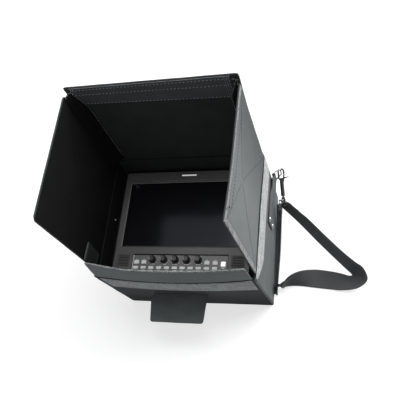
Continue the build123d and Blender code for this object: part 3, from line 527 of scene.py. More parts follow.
class Mesh:
    """A piece's mesh while it is made, in millimetres, with cloth coordinates and finishes."""

    def __init__(self, *finishes: Finish) -> None:
        """Start an empty mesh.

        Args:
            finishes: The finishes that faces name by number.
        """
        self.finishes = finishes
        self.points: list[Vector] = []
        self.faces: list[tuple[int, ...]] = []
        self.marks: list[int] = []
        self.cloth: list[list[Pair]] = []

    def face(self, corners: Sequence[int], cloth: Optional[list[Pair]] = None, mark: int = 0) -> None:
        """Add a face.

        Args:
            corners: Its points' numbers.
            cloth: Their cloth coordinates.
            mark: The finish.
        """
        self.faces.append(tuple(corners))
        self.cloth.append(cloth or [(0.0, 0.0)] * len(corners))
        self.marks.append(mark)

    def cap(self, ring: Sequence[Vector], mark: int = 0, flat: bool = False, order: int = 1) -> None:
        """Close an end with one face.

        Args:
            ring: The end's points.
            mark: The finish.
            flat: Whether its cloth lies flat in X and Y.
            order: -1 turns the face over.
        """
        start = len(self.points)
        self.points.extend(ring)
        cloth = [(p.x, p.y) for p in ring] if flat else None
        self.face(range(start, start + len(ring))[::order], cloth, mark)

    def grid(
        self, rows: Sequence[Sequence[Vector]], cloth: Sequence[Sequence[Pair]],
        mark: Callable[[int, int], int] = lambda i, j: 0, flip: bool = False, wrap: bool = False,
    ) -> None:
        """Add a grid of faces.

        Args:
            rows: Points, row by row.
            cloth: Their cloth coordinates.
            mark: Gives each face's finish from its row and column.
            flip: Turn the faces over.
            wrap: Join the last column to the first.
        """
        start = len(self.points)
        wide = len(rows[0])
        for row in rows:
            self.points.extend(row)
        for i in range(len(rows) - 1):
            for j in range(wide if wrap else wide - 1):
                k = (j + 1) % wide
                corners = [(i, j), (i, k), (i + 1, k), (i + 1, j)][:: -1 if flip else 1]
                numbers = [start + a * wide + b for a, b in corners]
                self.face(numbers, [cloth[a][b] for a, b in corners], mark(i, j))

    def tube(
        self, path: Sequence[Vector], radius: Callable[[float], float], sides: int = 8, mark: int = 0
    ) -> None:
        """Add a closed round bar along points.

        Args:
            path: The middle line.
            radius: The radius at a share of the length.
            sides: Faces round it.
            mark: The finish.
        """
        rings = []
        side = Vector((0.31, 0.77, 0.55))
        angles = [2 * math.pi * k / sides for k in range(sides)]
        for i, point in enumerate(path):
            ahead = (path[min(i + 1, len(path) - 1)] - path[max(i - 1, 0)]).normalized()
            side = (side - ahead * side.dot(ahead)).normalized()
            other = ahead.cross(side)
            size = radius(i / (len(path) - 1))
            rings.append([point + (side * math.cos(a) + other * math.sin(a)) * size for a in angles])
        cloth = [[(k * 1.0, i * 1.0) for k in range(sides)] for i in range(len(rings))]
        self.grid(rings, cloth, lambda i, j: mark, wrap=True)
        self.cap(rings[0], mark, order=-1)
        self.cap(rings[-1], mark)

    def stitches(
        self, path: Sequence[Vector], up: Union[Vector, Callable[[Vector], Vector]], kind: Stitch
    ) -> None:
        """Add a row of stitches along a line: low spindles whose ends dip into the cloth.

        Args:
            path: The line, as points on the surface.
            up: The surface's normal, or a function that gives it at a point.
            kind: The stitch.
        """
        runs = [(b - a).length for a, b in zip(path, path[1:])]
        total = sum(runs)
        count = max(1, int(total / (kind.length + kind.gap)))

        def at(distance: float) -> Vector:
            """Find a point along the line.

            Args:
                distance: How far along it is.

            Returns:
                The point.
            """
            for (a, b), run in zip(zip(path, path[1:]), runs):
                if distance <= run or (a, b) == (path[-2], path[-1]):
                    return a.lerp(b, min(distance / run, 1.0))
                distance -= run
            return path[-1]

        for i in range(count):
            first = at(i * (total / count) + kind.gap / 2)
            last = at((i + 1) * (total / count) - kind.gap / 2)
            normal = up if isinstance(up, Vector) else up((first + last) / 2)
            across = normal.cross((last - first).normalized()).normalized()
            start = len(self.points)
            self.points.append(first - normal * kind.radius * 0.6)
            for share in (0.22, 0.78):
                for a, b in ((1.0, -0.5), (0.6, 0.9), (-0.6, 0.9), (-1.0, -0.5)):
                    self.points.append(first.lerp(last, share) + (across * a + normal * b) * kind.radius)
            self.points.append(last - normal * kind.radius * 0.6)
            for k in range(4):
                near, next_near = start + 1 + k, start + 1 + (k + 1) % 4
                self.face((start, next_near, near), mark=kind.mark)
                self.face((near, next_near, next_near + 4, near + 4), mark=kind.mark)
                self.face((near + 4, next_near + 4, start + 9), mark=kind.mark)

    def build(
        self, name: str, body: str, slot: str, nodes: Sequence[str] = (), sharp: float = 40.0
    ) -> OBJECT:
        """Make the object and set what it rides on and stands for.

        Args:
            name: The piece's name.
            body: The CAD body it rides on, or nothing to leave it unattached.
            slot: The record's material slot; not used.
            nodes: CAD nodes it replaces.
            sharp: Edges sharper than this many degrees stay sharp.

        Returns:
            The object.
        """
        mesh = bpy.data.meshes.new(name)
        mesh.from_pydata([p * MM for p in self.points], [], self.faces)
        layer = mesh.uv_layers.new(name="cloth")
        layer.data.foreach_set("uv", [c * MM for face in self.cloth for corner in face for c in corner])
        for finish in self.finishes:
            mesh.materials.append(finish.material())
        mesh.polygons.foreach_set("material_index", self.marks)
        work = bmesh.new()
        work.from_mesh(mesh)
        bmesh.ops.remove_doubles(work, verts=work.verts, dist=0.004 * MM)
        bmesh.ops.recalc_face_normals(work, faces=work.faces)
        work.to_mesh(mesh)
        work.free()
        mesh.polygons.foreach_set("use_smooth", [True] * len(mesh.polygons))
        mesh.set_sharp_from_angle(angle=math.radians(sharp))
        piece = put(name, mesh)
        if body:
            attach(piece, body)
        if nodes:
            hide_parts(*nodes)
        LOG.info("%s: %d faces on %s", name, len(mesh.polygons), body or "two bodies")
        return piece


@dataclass
class Board:
    """A stiff sheet between two layers of cloth, with rounded hems.

    The middle surface is place(s, t), where s runs across from span(t) and t runs from
    low to high. Side 0 is the one that faces outward.
    """

    place: Place
    span: Callable[[float], Pair]
    low: float
    high: float
    thickness: float
    step: float = 4.0
    corner: float = 0.0
    relief: Callable[[float, float], float] = lambda s, t: 0.0
    outward: Vector = field(default_factory=lambda: Vector((0, 0, 1)))

    def stations(self, length: float) -> list[float]:
        """Shares along an edge, closer together at its ends.

        Args:
            length: The edge's length.

        Returns:
            The shares, from 0 to 1.
        """
        r = self.thickness / 2
        ends = [0.0, 0.13 * r, 0.5 * r]
        values = ends + shared(r, length - r, self.step) + [length - e for e in reversed(ends)]
        return [v / length for v in values]

    def normal(self, s: float, t: float, side: int = 0) -> Vector:
        """The unit vector out of a side.

        Args:
            s: Across.
            t: Along.
            side: 0 or 1.

        Returns:
            The normal.
        """
        h = 0.5
        ds = self.place(s + h, t) - self.place(s - h, t)
        dt = self.place(s, t + h) - self.place(s, t - h)
        n = ds.cross(dt).normalized()
        return n if (n.dot(self.outward) >= 0) == (side == 0) else -n

    def edge(self, a: float, b: float) -> Triple:
        """Where a share of the sheet lies, its corners rounded.

        Args:
            a: Share across.
            b: Share along.

        Returns:
            s, t and the distance to the hem.
        """
        t = self.low + (self.high - self.low) * b
        first, last = self.span(t)
        ds, dt = min(a, 1 - a) * (last - first), min(b, 1 - b) * (self.high - self.low)
        r = self.corner
        if ds < r and dt < r and b > 0.5:
            q = Vector((r - ds, r - dt))
            if q.length > r:
                q *= r / q.length
            t = self.high - (r - q.y)
            first, last = self.span(t)
            return (first + (r - q.x) if a < 0.5 else last - (r - q.x)), t, max(r - q.length, 0.0)
        return first + (last - first) * a, t, min(ds, dt)

    def surface(self, s: float, t: float, side: int, hem: float) -> Vector:
        """A point on one side.

        Args:
            s: Across.
            t: Along.
            side: 0 or 1.
            hem: Distance to the hem.

        Returns:
            The point.
        """
        r = self.thickness / 2
        rise = r if hem >= r else r * math.sqrt(max(0.0, 1 - ((r - hem) / r) ** 2))
        return self.place(s, t) + self.normal(s, t) * ((rise if side == 0 else -rise) + self.relief(s, t))

    def on(self, side: int, inset: float = 0.0) -> Place:
        """Points of one side at s and t, at a height above the cloth, for what is sewn there."""
        return lambda s, t: self.surface(s, t, side, self.thickness) + self.normal(s, t, side) * inset

    def add_to(self, mesh: Mesh, marks: Callable[[float, float, float, int], int] = lambda *at: 0) -> None:
        """Add the sheet to a mesh.

        Args:
            mesh: The mesh.
            marks: The finish from s, t, the distance to the hem and the side.
        """
        first, last = self.span((self.low + self.high) / 2)
        across = self.stations(last - first)
        places = [[self.edge(a, b) for a in across] for b in self.stations(self.high - self.low)]
        cloth = [[(s, t) for s, t, _ in row] for row in places]
        for side in (0, 1):

            def mark(i: int, j: int) -> int:
                """The finish of one face."""
                around = [places[i][j], places[i][j + 1], places[i + 1][j], places[i + 1][j + 1]]
                return marks(*(sum(p[k] for p in around) / 4 for k in range(3)), side)

            rows = [[self.surface(s, t, side, hem) for s, t, hem in row] for row in places]
            mesh.grid(rows, cloth, mark, flip=side == 1)

    def sew(self, mesh: Mesh, side: int, inset: float, sides: str, kind: Stitch, step: float = 5.0) -> None:
        """Stitch along edges.

        Args:
            mesh: The mesh.
            side: 0 or 1.
            inset: How far from the edge.
            sides: Which edges: l and r across, b low and t high.
            kind: The stitch.
            step: Between points of the line.
        """
        point = self.on(side, 0.05)
        low, high = self.low + inset, self.high - inset
        for name in sides:
            if name in "lr":
                pick, shift = (0, inset) if name == "l" else (1, -inset)
                line = [point(self.span(t)[pick] + shift, t) for t in shared(low, high, step)]
            else:
                t = low if name == "b" else high
                first, last = self.span(t)
                line = [point(s, t) for s in shared(first + inset, last - inset, step)]
            mesh.stitches(line, self.outward if side == 0 else -self.outward, kind)


# ---- The case and its hood ---------------------------------------------------------------


@dataclass(frozen=True)
class CaseSizes:
    """The case's main sizes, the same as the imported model's, and how far its cloth strays."""

    half_width: float = 127.5
    half_height: float = 101.5
    wall: float = 4.0
    board: float = 2.5
    left_rim: float = 159.0
    right_rim: float = 162.6
    top_rim: float = 166.2
    bottom_rim: float = 169.0
    bottom_flare: float = 6.0
    bottom_bow: float = 7.5
    side_bow: float = 1.0
    right_lean_in: float = 2.5
    upright_end: float = 0.55
    corner: float = 3.0
    hood_front: float = 355.5
    panel_half: float = 97.2
    gap: float = 0.3
    stiff_width: float = 80.0
    stiff_height: float = 55.0

    @property
    def inner_width(self) -> float:
        """Half the width between the hood's side panels."""
        return self.half_width - self.board

    @property
    def inner_height(self) -> float:
        """Half the height under the lid."""
        return self.half_height - self.board

    def slack(self, x: float, y: float, z: float) -> Vector:
        """How far the soft walls stray from the upright box at a place.

        Args:
            x: Across the case.
            y: Up the monitor.
            z: Above the back.

        Returns:
            The shift.
        """
        share = max(z, 0.0) / self.bottom_rim
        crown_x = max(0.0, 1 - (x / self.half_width) ** 2)
        crown_y = max(0.0, 1 - (y / self.half_height) ** 2)
        down, up = (
            ease((v - self.stiff_height) / (self.half_height - self.stiff_height - 5.0)) for v in (-y, y)
        )
        right, left = (
            ease((v - self.stiff_width) / (self.half_width - self.stiff_width - 5.0)) for v in (x, -x)
        )
        dy = (up * self.side_bow * crown_x - down * (self.bottom_flare + self.bottom_bow * crown_x)) * share
        dx = (right - left) * self.side_bow * crown_y * share
        upright = 1 - self.upright_end * ease(y / self.panel_half)
        return Vector((dx + right * self.right_lean_in * (1 - 2 * share * upright), dy, 0))


SIZES = CaseSizes()


def leaning(point: Vector, pivot: Vector, degrees: float, axis: str) -> Vector:
    """A point turned about a hinge line."""
    return pivot + Matrix.Rotation(math.radians(degrees), 3, axis) @ (point - pivot)


@dataclass
class CaseShell:
    """The stiffened nylon box: walls with rolled rims, a lining and a back."""

    sizes: CaseSizes = SIZES
    step: float = 5.0
    lining_low: float = 60.0
    blend: float = 3.5
    seam_reach: Pair = (3.0, 154.0)
    seam_step: float = 8.0
    seam_inset: float = 0.35
    seam_radius: float = 0.9
    border: tuple = ((6.0, 0.35), (7.0, 0.8), (8.5, 0.5), (40.0, 0.9))
    stud: Pair = (2.0, 134.0)

    def perimeter(self) -> list[tuple[float, float, float, float, str]]:
        """Stations round the case.

        Returns:
            x, y, the outward normal and the side, for each.
        """
        w, h, r = self.sizes.half_width, self.sizes.half_height, self.sizes.corner
        stations = []
        for side, (nx, ny) in (("bottom", (0, -1)), ("right", (1, 0)), ("top", (0, 1)), ("left", (-1, 0))):
            tx, ty = -ny, nx
            reach, offset = (w - r, h) if nx == 0 else (h - r, w)
            for s in shared(-reach, reach, self.step):
                stations.append((nx * offset + tx * s, ny * offset + ty * s, nx, ny, side))
            centre = (nx * (offset - r) + tx * reach, ny * (offset - r) + ty * reach)
            for a in (math.radians(22.5 * k) for k in (1, 2, 3)):
                ax, ay = nx * math.cos(a) + tx * math.sin(a), ny * math.cos(a) + ty * math.sin(a)
                stations.append((centre[0] + ax * r, centre[1] + ay * r, ax, ay, side))
        return stations

    def rim(self, station: tuple) -> float:
        """The rim's height at a station.

        Args:
            station: A perimeter station.

        Returns:
            The height.
        """
        z, (y, side) = self.sizes, (station[1], station[4])
        if side in ("bottom", "top"):
            return z.bottom_rim if side == "bottom" else z.top_rim
        own = z.left_rim if side == "left" else z.right_rim
        end = z.bottom_rim if y < 0 else z.top_rim
        return own + (end - own) * kept((abs(y) - z.panel_half) / self.blend)

    def point(self, station: tuple, z: float, inwards: float) -> Vector:
        """A point of the shell.

        Args:
            station: A perimeter station.
            z: Its height.
            inwards: How far inside the outer face.

        Returns:
            The point.
        """
        x, y, nx, ny = station[:4]
        limit_x, limit_y = self.sizes.half_width - inwards, self.sizes.half_height - inwards
        px = min(max(x - nx * inwards, -limit_x), limit_x)
        py = min(max(y - ny * inwards, -limit_y), limit_y)
        waver = rough(Vector((px, py, z)), 42.0, 0.35, 1.0)
        return Vector((px + nx * waver, py + ny * waver, z)) + self.sizes.slack(x, y, z)

    def build(self) -> OBJECT:
        """Build the shell with its back, corner welts and lining stud."""
        stations = self.perimeter()
        rows, cloth = [], []
        length = [0.0]
        for a, b in zip(stations, stations[1:]):
            length.append(length[-1] + math.hypot(b[0] - a[0], b[1] - a[1]))
        t = self.sizes.wall

        def add(level: Callable[[float], float], inwards: float, down: float) -> None:
            """Add one ring of points."""
            rows.append([self.point(s, level(self.rim(s)), inwards) for s in stations])
            cloth.append([(place, down) for place in length])

        add(lambda rim: 0.0, 2.2, -2.0)
        add(lambda rim: 0.5, 0.7, -0.7)
        for share in shared(0.012, 1.0, 0.03):
            add(lambda rim, a=share: (rim - t / 2) * a, 0.0, share * 160)
        outside = len(rows) - 1
        for angle in (25, 50, 75, 90, 105, 130, 155):
            a = math.radians(angle)
            inwards = t / 2 - t / 2 * math.cos(a)
            add(lambda rim, a=a: rim - t / 2 + t / 2 * math.sin(a), inwards, 160 + angle / 30)
        rolled = len(rows) - 1
        for share in shared(0.0, 1.0, 0.12):
            add(lambda rim, a=share: (rim - t / 2) * (1 - a) + self.lining_low * a, t, 166 + share * 100)
        mesh = Mesh(
            Finish.CASE_NYLON, Finish.LINING, Finish.SHADED_RIM_BINDING, Finish.SHADED_BASE_NYLON, Finish.LIT_LINING,
            Finish.KEY,
        )

        def mark(i: int, j: int) -> int:
            """Choose linings inside, the lighter one on the top wall as painted light, near-black binding on
            the rim, and outside the case nylon with a darker copy on the bottom wall as painted shade.

            Args:
                i: The ring.
                j: The station.

            Returns:
                The finish.
            """
            side = stations[j][4]
            # Painted light: the top wall's inside takes the lighter copy of the lining.
            if i > rolled:
                return 4 if side == "top" else 1
            # Painted shade: the bottom wall's outside takes the darker copy of the case nylon.
            return 2 if i > outside else (3 if side == "bottom" else 0)

        mesh.grid(rows, cloth, mark, wrap=True)
        self.back(mesh, rows[0])
        for station in stations:
            if abs(abs(station[2]) - abs(station[3])) < 0.01:
                heights = shared(*self.seam_reach, self.seam_step)
                path = [self.point(station, z, self.seam_inset) for z in heights]
                mesh.tube(path, lambda a: self.seam_radius)
        stud = Vector((t - self.sizes.half_width, *self.stud))
        mesh.tube([stud - Vector((1, 0, 0)), stud + Vector((0.8, 0, 0))], lambda a: 0.9, 10, 5)
        walls = [f"case_{name}_wall" for name in ("left", "right", "top", "bottom")]
        return mesh.build("case_shell", "case", "nylon", [*walls, "case_back_panel"])

    def back(self, mesh: Mesh, ring: Sequence[Vector]) -> None:
        """Close the back with a flat panel that carries a sewn border.

        Args:
            mesh: The mesh.
            ring: The shell's rear ring.
        """
        rings = [list(ring)]
        for inset, rise in self.border:
            wide, tall = 1 - inset / self.sizes.half_width, 1 - inset / self.sizes.half_height
            rings.append([Vector((p.x * wide, p.y * tall, rise)) for p in ring])
        mesh.grid(rings, [[(p.x, p.y) for p in r] for r in rings], wrap=True, flip=True)
        mesh.cap(rings[-1], flat=True)


@dataclass
class LoopBand:
    """Loop fabric sewn round the outside of the case's mouth."""

    sizes: CaseSizes = SIZES
    rear: float = 117.0
    thickness: float = 1.2
    stand: float = 0.8
    rim_gap: float = 1.0
    seam_inset: float = 2.2
    left_gap: float = 9.0
    right_gap: float = 1.5
    slant: float = 46.0
    slant_height: float = 38.0
    stitch: Stitch = Stitch(1, 3.0, 1.0, 0.26)

    def strip(self, side: str, rim: float) -> Board:
        """One wall's strip.

        Args:
            side: The wall.
            rim: Its rim's height.

        Returns:
            The strip.
        """
        z = self.sizes
        flat = side in ("bottom", "top")
        half = z.half_width - z.corner if flat else z.panel_half
        sign = -1 if side in ("bottom", "left") else 1
        offset = sign * ((z.half_height if flat else z.half_width) + self.stand)

        def place(s: float, t: float) -> Vector:
            """The strip's middle surface."""
            x, y = (s, offset) if flat else (offset, s)
            return Vector((x, y, t)) + z.slack(x, y, t)

        def span(t: float) -> Pair:
            """Find the strip's ends: cut short at the lower left, and slanted at the lower right.

            Args:
                t: A height above the back.

            Returns:
                Its ends there.
            """
            if side == "bottom":
                return -half + self.left_gap, half - self.right_gap
            share = min((t - self.rear) / self.slant_height, 1.0) if side == "right" else 1.0
            return -half + self.slant * (1 - share**0.6), half

        outward = Vector((0, sign, 0)) if flat else Vector((sign, 0, 0))
        return Board(place, span, self.rear, rim - self.rim_gap, self.thickness, outward=outward)

    def build(self) -> OBJECT:
        """Build the four strips with their stitches."""
        mesh = Mesh(Finish.LOOP_BAND, Finish.DARK_THREAD, Finish.DARK_BINDING)
        for side in ("bottom", "top", "left", "right"):
            board = self.strip(side, getattr(self.sizes, f"{side}_rim"))
            board.add_to(mesh)
            board.sew(mesh, 0, self.seam_inset, "bt", self.stitch)
        return mesh.build("loop_band_sewn", "case", "loop_fabric", ["loop_band"])


@dataclass
class SidePanel:
    """A side of the hood: board in nylon, lined inside, creased where it folds."""

    side: int
    rim: float
    lean: float
    sizes: CaseSizes = SIZES
    top_taper: float = 2.0
    bottom_taper: float = 7.0
    corner: float = 4.0
    apex: Pair = (-8.0, 281.0)
    push: float = 3.4
    binding: float = 5.0
    folded: float = 0.3
    base_in: float = 0.0
    top_out: float = 0.0
    bottom_in: float = 0.0
    snap: Pair = (-71.5, 341.5)
    hem_stitch: Stitch = Stitch(3, 2.4, 1.1, 0.24)
    top_stitch: Stitch = Stitch(4, 2.6, 2.4, 0.5)
    crease_stitch: Stitch = Stitch(4, 2.2, 1.4, 0.34)
    lining_stitch: Stitch = Stitch(5, 2.2, 1.3, 0.3)

    @property
    def word(self) -> str:
        """The panel's side in a word."""
        return "left" if self.side < 0 else "right"

    def leaned(self, point: Vector) -> Vector:
        """Lean a point inwards about the panel's hinge, and twist it.

        Args:
            point: A point of the upright panel.

        Returns:
            The leaned point.
        """
        z = self.sizes
        pivot = Vector((self.side * z.inner_width, 0, self.rim + z.gap))
        share = kept((point.z - self.rim) / (z.hood_front - self.rim))
        end = point.y / z.panel_half
        twist = self.top_out * max(end, 0.0) - self.bottom_in * max(-end, 0.0) ** 1.5
        shift = share * twist - (1 - share) * self.base_in * (1 - 2 * z.upright_end * ease(end))
        return leaning(point, pivot, -self.side * self.lean, "Y") + Vector((self.side * shift, 0, 0))

    def span(self, t: float) -> Pair:
        """Find how far the panel reaches up and down the monitor.

        Args:
            t: A height above the back.

        Returns:
            Its lowest and highest place there.
        """
        z = self.sizes
        share = (t - self.rim) / (z.hood_front - self.rim)
        return -z.panel_half + self.bottom_taper * share, z.panel_half - self.top_taper * share

    def pushed(self, s: float, t: float) -> float:
        """How deep the folding facets are pushed at a place.

        Args:
            s: Up the monitor.
            t: Above the back face.

        Returns:
            The depth, most at the apex and nothing at the edges.
        """
        first, last = self.span(t)
        ds, dt = s - self.apex[0], t - self.apex[1]
        wide = (last - self.apex[0]) if ds > 0 else (self.apex[0] - first)
        tall = (self.sizes.hood_front - self.apex[1]) if dt > 0 else (self.apex[1] - self.rim)
        return self.push * max(0.0, 1 - max(abs(ds) / wide, abs(dt) / tall))

    def board(self) -> Board:
        """The panel as a board."""
        z = self.sizes
        middle = self.side * (z.inner_width + z.board / 2)
        return Board(
            lambda s, t: self.leaned(Vector((middle, s, t))), self.span, self.rim + z.gap, z.hood_front,
            z.board, corner=self.corner, outward=Vector((self.side, 0, 0)),
            relief=lambda s, t: rough(Vector((s, t, 0)), 30.0, 0.22, 3.0 + self.side) - self.pushed(s, t),
        )

    def sew_creases(self, mesh: Mesh, board: Board, face: int, kind: Stitch) -> None:
        """Stitch the four creases from the apex to the corners.

        Args:
            mesh: The mesh.
            board: The panel.
            face: Its outside, 0, or inside, 1.
            kind: The stitch.
        """
        point = board.on(face, 0.08)
        for t in (board.low + 5, board.high - 8):
            first, last = board.span(t)
            for s in (first + 6, last - 6):
                ends = ((self.apex[0], s), (self.apex[1], t))
                line = [point(*(a + (b - a) * k for a, b in ends)) for k in shared(0.04, 1.0, 0.05)]
                mesh.stitches(line, board.outward if face == 0 else -board.outward, kind)

    def build(self) -> OBJECT:
        """Build the panel with its binding, stitches and snap."""
        # Painted shade: the right panel's outside takes the nylon darkened towards its top.
        edge, cloth = Finish.BINDING, Finish.SHADED_SIDE_NYLON
        # Painted shade: the left panel's front binding takes the dark copy of the right panel's paler tape.
        if self.side < 0:
            edge, cloth = Finish.DARK_BINDING, Finish.HOOD_NYLON
        mesh = Mesh(
            cloth, Finish.LINING, edge, Finish.THREAD, Finish.DARK_THREAD, Finish.SEAM, Finish.DARK_BINDING
        )
        board = self.board()

        def marks(s: float, t: float, hem: float, face: int) -> int:
            """Choose binding at the hem, lining inside, nylon outside.

            Args:
                s: The place up the monitor.
                t: The height above the back.
                hem: The distance from the edge.
                face: The outside, 0, or inside, 1.

            Returns:
                The finish.
            """
            bound = min(s - board.span(t)[0], board.high - t) < (self.binding if face == 0 else 1.6)
            if hem < 0.9 or (bound and face == 1):
                return 6
            return 2 if bound else face

        board.add_to(mesh, marks)
        board.sew(mesh, 0, self.binding + 0.8, "lt", self.hem_stitch)
        board.sew(mesh, 0, 27.0, "t", self.top_stitch)
        self.sew_creases(mesh, board, 0, self.crease_stitch)
        board.sew(mesh, 1, 3.0, "lrt", self.lining_stitch)
        self.sew_creases(mesh, board, 1, self.lining_stitch)
        snap = board.on(0)(*self.snap)
        mesh.tube([snap - board.outward * 0.5, snap + board.outward * 0.9], lambda a: 1.2, 10, 5)
        body = f"hood_{self.word}"
        return self.flatten(mesh.build(body + "_cloth", body, "hood_panel", [body + "_panel"], 50.0))

    def flatten(self, piece: OBJECT) -> OBJECT:
        """Give the right panel's piece its own copy of its mesh; the left panel's piece stays as it is.

        Args:
            piece: The panel or what is sewn on it.

        Returns:
            The same piece.
        """
        if self.side > 0:
            anchor = ((self.sizes.half_width - self.sizes.board / 5) * MM, 0.0, 0.0)
            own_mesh(piece)
        return piece


@dataclass
class LipTab:
    """The lip's hook tab, stuck flat inside a side panel."""

    panel: SidePanel
    low: float = 170.0
    length: float = 42.0
    height: float = 29.0
    slant: float = 4.0
    thickness: float = 0.8
    step: float = 3.0
    corner: float = 2.0
    hem: float = 3.0
    insets: Pair = (1.8, 5.0)
    stitch: Stitch = Stitch(1, 1.9, 0.9, 0.17)

    def board(self) -> Board:
        """The tab as a thin board."""
        panel, z = self.panel, self.panel.sizes
        middle = panel.side * (z.inner_width - self.thickness / 2)
        start = -z.panel_half + panel.bottom_taper * 0.4
        top = start + self.height - self.slant
        return Board(
            lambda s, t: panel.leaned(Vector((middle - panel.side * panel.pushed(s, t), s, t))),
            lambda t: (start, top + self.slant * (t - self.low) / self.length),
            self.low, self.low + self.length, self.thickness, self.step, self.corner,
            outward=Vector((-panel.side, 0, 0)),
        )

    def build(self) -> OBJECT:
        """Build the tab with its sewn rectangles."""
        mesh = Mesh(Finish.HOOK_TAPE, Finish.THREAD, Finish.FLAP_NYLON)
        board = self.board()
        board.add_to(mesh, lambda s, t, hem, face: 2 if board.high - t < self.hem else 0)
        for inset in self.insets:
            board.sew(mesh, 0, inset, "lrbt", self.stitch, self.step)
        name = f"lip_tab_{self.panel.word}"
        return self.panel.flatten(mesh.build(f"{name}_sewn", f"hood_{self.panel.word}", "hook_strip", [name]))


def bound_front(board: Board, outside: float, inside: float) -> Callable[[float, float, float, int], int]:
    """Marks of a lined panel: a bound front edge, lining inside and nylon outside.

    Args:
        board: The panel.
        outside: The binding's width outside.
        inside: Its width inside.

    Returns:
        The function that gives a face's finish.
    """

    def marks(s: float, t: float, hem: float, face: int) -> int:
        """The finish at a place."""
        if board.high - t < (outside if face == 0 else inside):
            return 2
        return 0 if face == 0 or hem < 0.8 else 1

    return marks


@dataclass
class HoodLid:
    """The hood's top panel with its stitched front band, and the netted corners under it."""

    panels: tuple[SidePanel, SidePanel]
    sizes: CaseSizes = SIZES
    lean: float = 2.3
    right_lean: float = 0.9
    corner: float = 4.0
    flare: Pair = (3.6, 2.0)
    overhang: float = 4.0
    binding: Pair = (5.0, 1.5)
    hem_inset: float = 5.8
    lining_inset: float = 2.6
    band_width: float = 37.0
    band_gap: float = 2.0
    left_seams: Pair = (1.6, 5.5)
    right_seams: Pair = (4.5, 7.5)
    crimp: float = 0.6
    pleat: float = 0.95
    net_sag: float = 1.6
    band_left: float = -119.0
    band_right: float = 111.0
    band_skew: float = 3.9
    trim: float = 0.8
    # Three pale scraps at the band's right end, for a loop and the right panel's flange end; their paleness
    # is a painted highlight.
    patches: tuple = ((113.0, 116.5, 350.0), (117.5, 121.0, 348.5), (113.5, 121.0, 341.0))
    patch_height: float = 2.2
    strip_inset: float = 12.0
    strip_reach: float = 20.0
    net_front: float = 353.5
    net_reach: float = 5.0
    rear_drop: float = 26.0
    front_drop: float = 13.5
    hem_stitch: Stitch = Stitch(3, 2.4, 1.1, 0.24)
    lining_stitch: Stitch = Stitch(4, 2.2, 1.2, 0.22)
    band_stitch: Stitch = Stitch(1, 2.6, 2.6, 0.4)
    end_stitch: Stitch = Stitch(1, 1.8, 1.0, 0.26)
    net_stitch: Stitch = Stitch(1, 2.4, 1.4, 0.36)

    @property
    def low(self) -> float:
        """The lid's lower edge above the back face."""
        return self.sizes.top_rim + self.sizes.gap

    def leaned(self, point: Vector) -> Vector:
        """A point of the upright lid leaned outwards about the lid's hinge."""
        return leaning(point, Vector((0, self.sizes.inner_height, self.low)), -self.lean, "X")

    def span(self, t: float) -> Pair:
        """The lid's edges at a depth.

        Args:
            t: Above the back face.

        Returns:
            The left and right edge.
        """
        z = self.sizes
        share = (t - self.low) / (z.hood_front - self.low)
        narrow = (z.hood_front - z.right_rim) * math.tan(math.radians(self.right_lean))
        out = max(share, 0.0) ** 3
        half = z.inner_width - z.gap
        return -half - self.flare[0] * out, half - narrow * share + self.flare[1] * out

    def slack(self, s: float, t: float) -> float:
        """How unevenly the lid's cloth lies at a place."""
        return rough(Vector((s, t, 0)), 34.0, 0.3, 7.0)

    def build(self) -> None:
        """Build the lid, its band and the corner strips."""
        z = self.sizes
        # Painted shade: the lid's front binding takes the dark copy of the right panel's paler tape.
        mesh = Mesh(
            Finish.HOOD_NYLON, Finish.LIT_LINING, Finish.DARK_BINDING, Finish.THREAD, Finish.DARK_THREAD
        )
        middle = z.inner_height + z.board / 2
        board = Board(
            lambda s, t: self.leaned(Vector((s, middle, t))), self.span, self.low,
            z.hood_front + self.overhang, z.board, corner=self.corner, relief=self.slack,
            outward=Vector((0, 1, 0)),
        )
        board.add_to(mesh, bound_front(board, *self.binding))
        board.sew(mesh, 0, self.hem_inset, "lrt", self.hem_stitch)
        board.sew(mesh, 1, self.lining_inset, "lr", self.lining_stitch)
        lid = mesh.build("hood_lid_cloth", "hood_lid", "hood_panel", ["hood_lid"], 50.0)
        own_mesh(lid)
        self.front_band()
        self.corners()

    def front_band(self) -> None:
        """Build the band sewn across the lid's inside, with the three scraps at its right, whose pale finish
        is a painted highlight.
        """
        z = self.sizes
        high = z.hood_front + self.overhang - self.band_gap
        low = high - self.band_width - self.overhang / 2
        inwards = Vector((0, -1, 0))

        def place(s: float, t: float) -> Vector:
            """The band's middle surface."""
            skew = (self.band_skew * s / self.band_right + 0.5) * (high - t) / (high - low)
            return self.leaned(Vector((s, z.inner_height - self.trim / 2 + self.slack(s, t), t - skew)))

        def strip(first: float, last: float, start: float, end: float) -> Board:
            """One flat strip on the lid's inside."""
            return Board(place, lambda t: (first, last), start, end, self.trim, outward=inwards)

        board = strip(self.band_left, self.band_right, low, high)
        mesh = Mesh(Finish.HOOD_BAND, Finish.PALE_THREAD, Finish.BAND_HEM)
        board.add_to(mesh, lambda s, t, hem, face: 2 if high - t < 2.3 else 0)
        on = board.on(0, 0.05)
        board.sew(mesh, 0, 1.6, "lrb", self.band_stitch)
        for depth in (high - 4.6, high - self.band_width * 0.43):
            line = [on(s, depth) for s in shared(self.band_left + 2, self.band_right - 2, 5)]
            mesh.stitches(line, inwards, self.band_stitch)
        ends = [self.band_left + d for d in self.left_seams] + [self.band_right - d for d in self.right_seams]
        for s in ends:
            mesh.stitches([on(s, t) for t in shared(low + 1, high - 1, 4)], inwards, self.end_stitch)
        # Painted highlight: pale scraps at the band's right end.
        for first, last, start in self.patches:
            strip(first, last, start, start + self.patch_height).add_to(mesh, lambda *at: 2)
        mesh.build("lid_band_sewn", "hood_lid", "hook_strip", ["lid_front_band"])

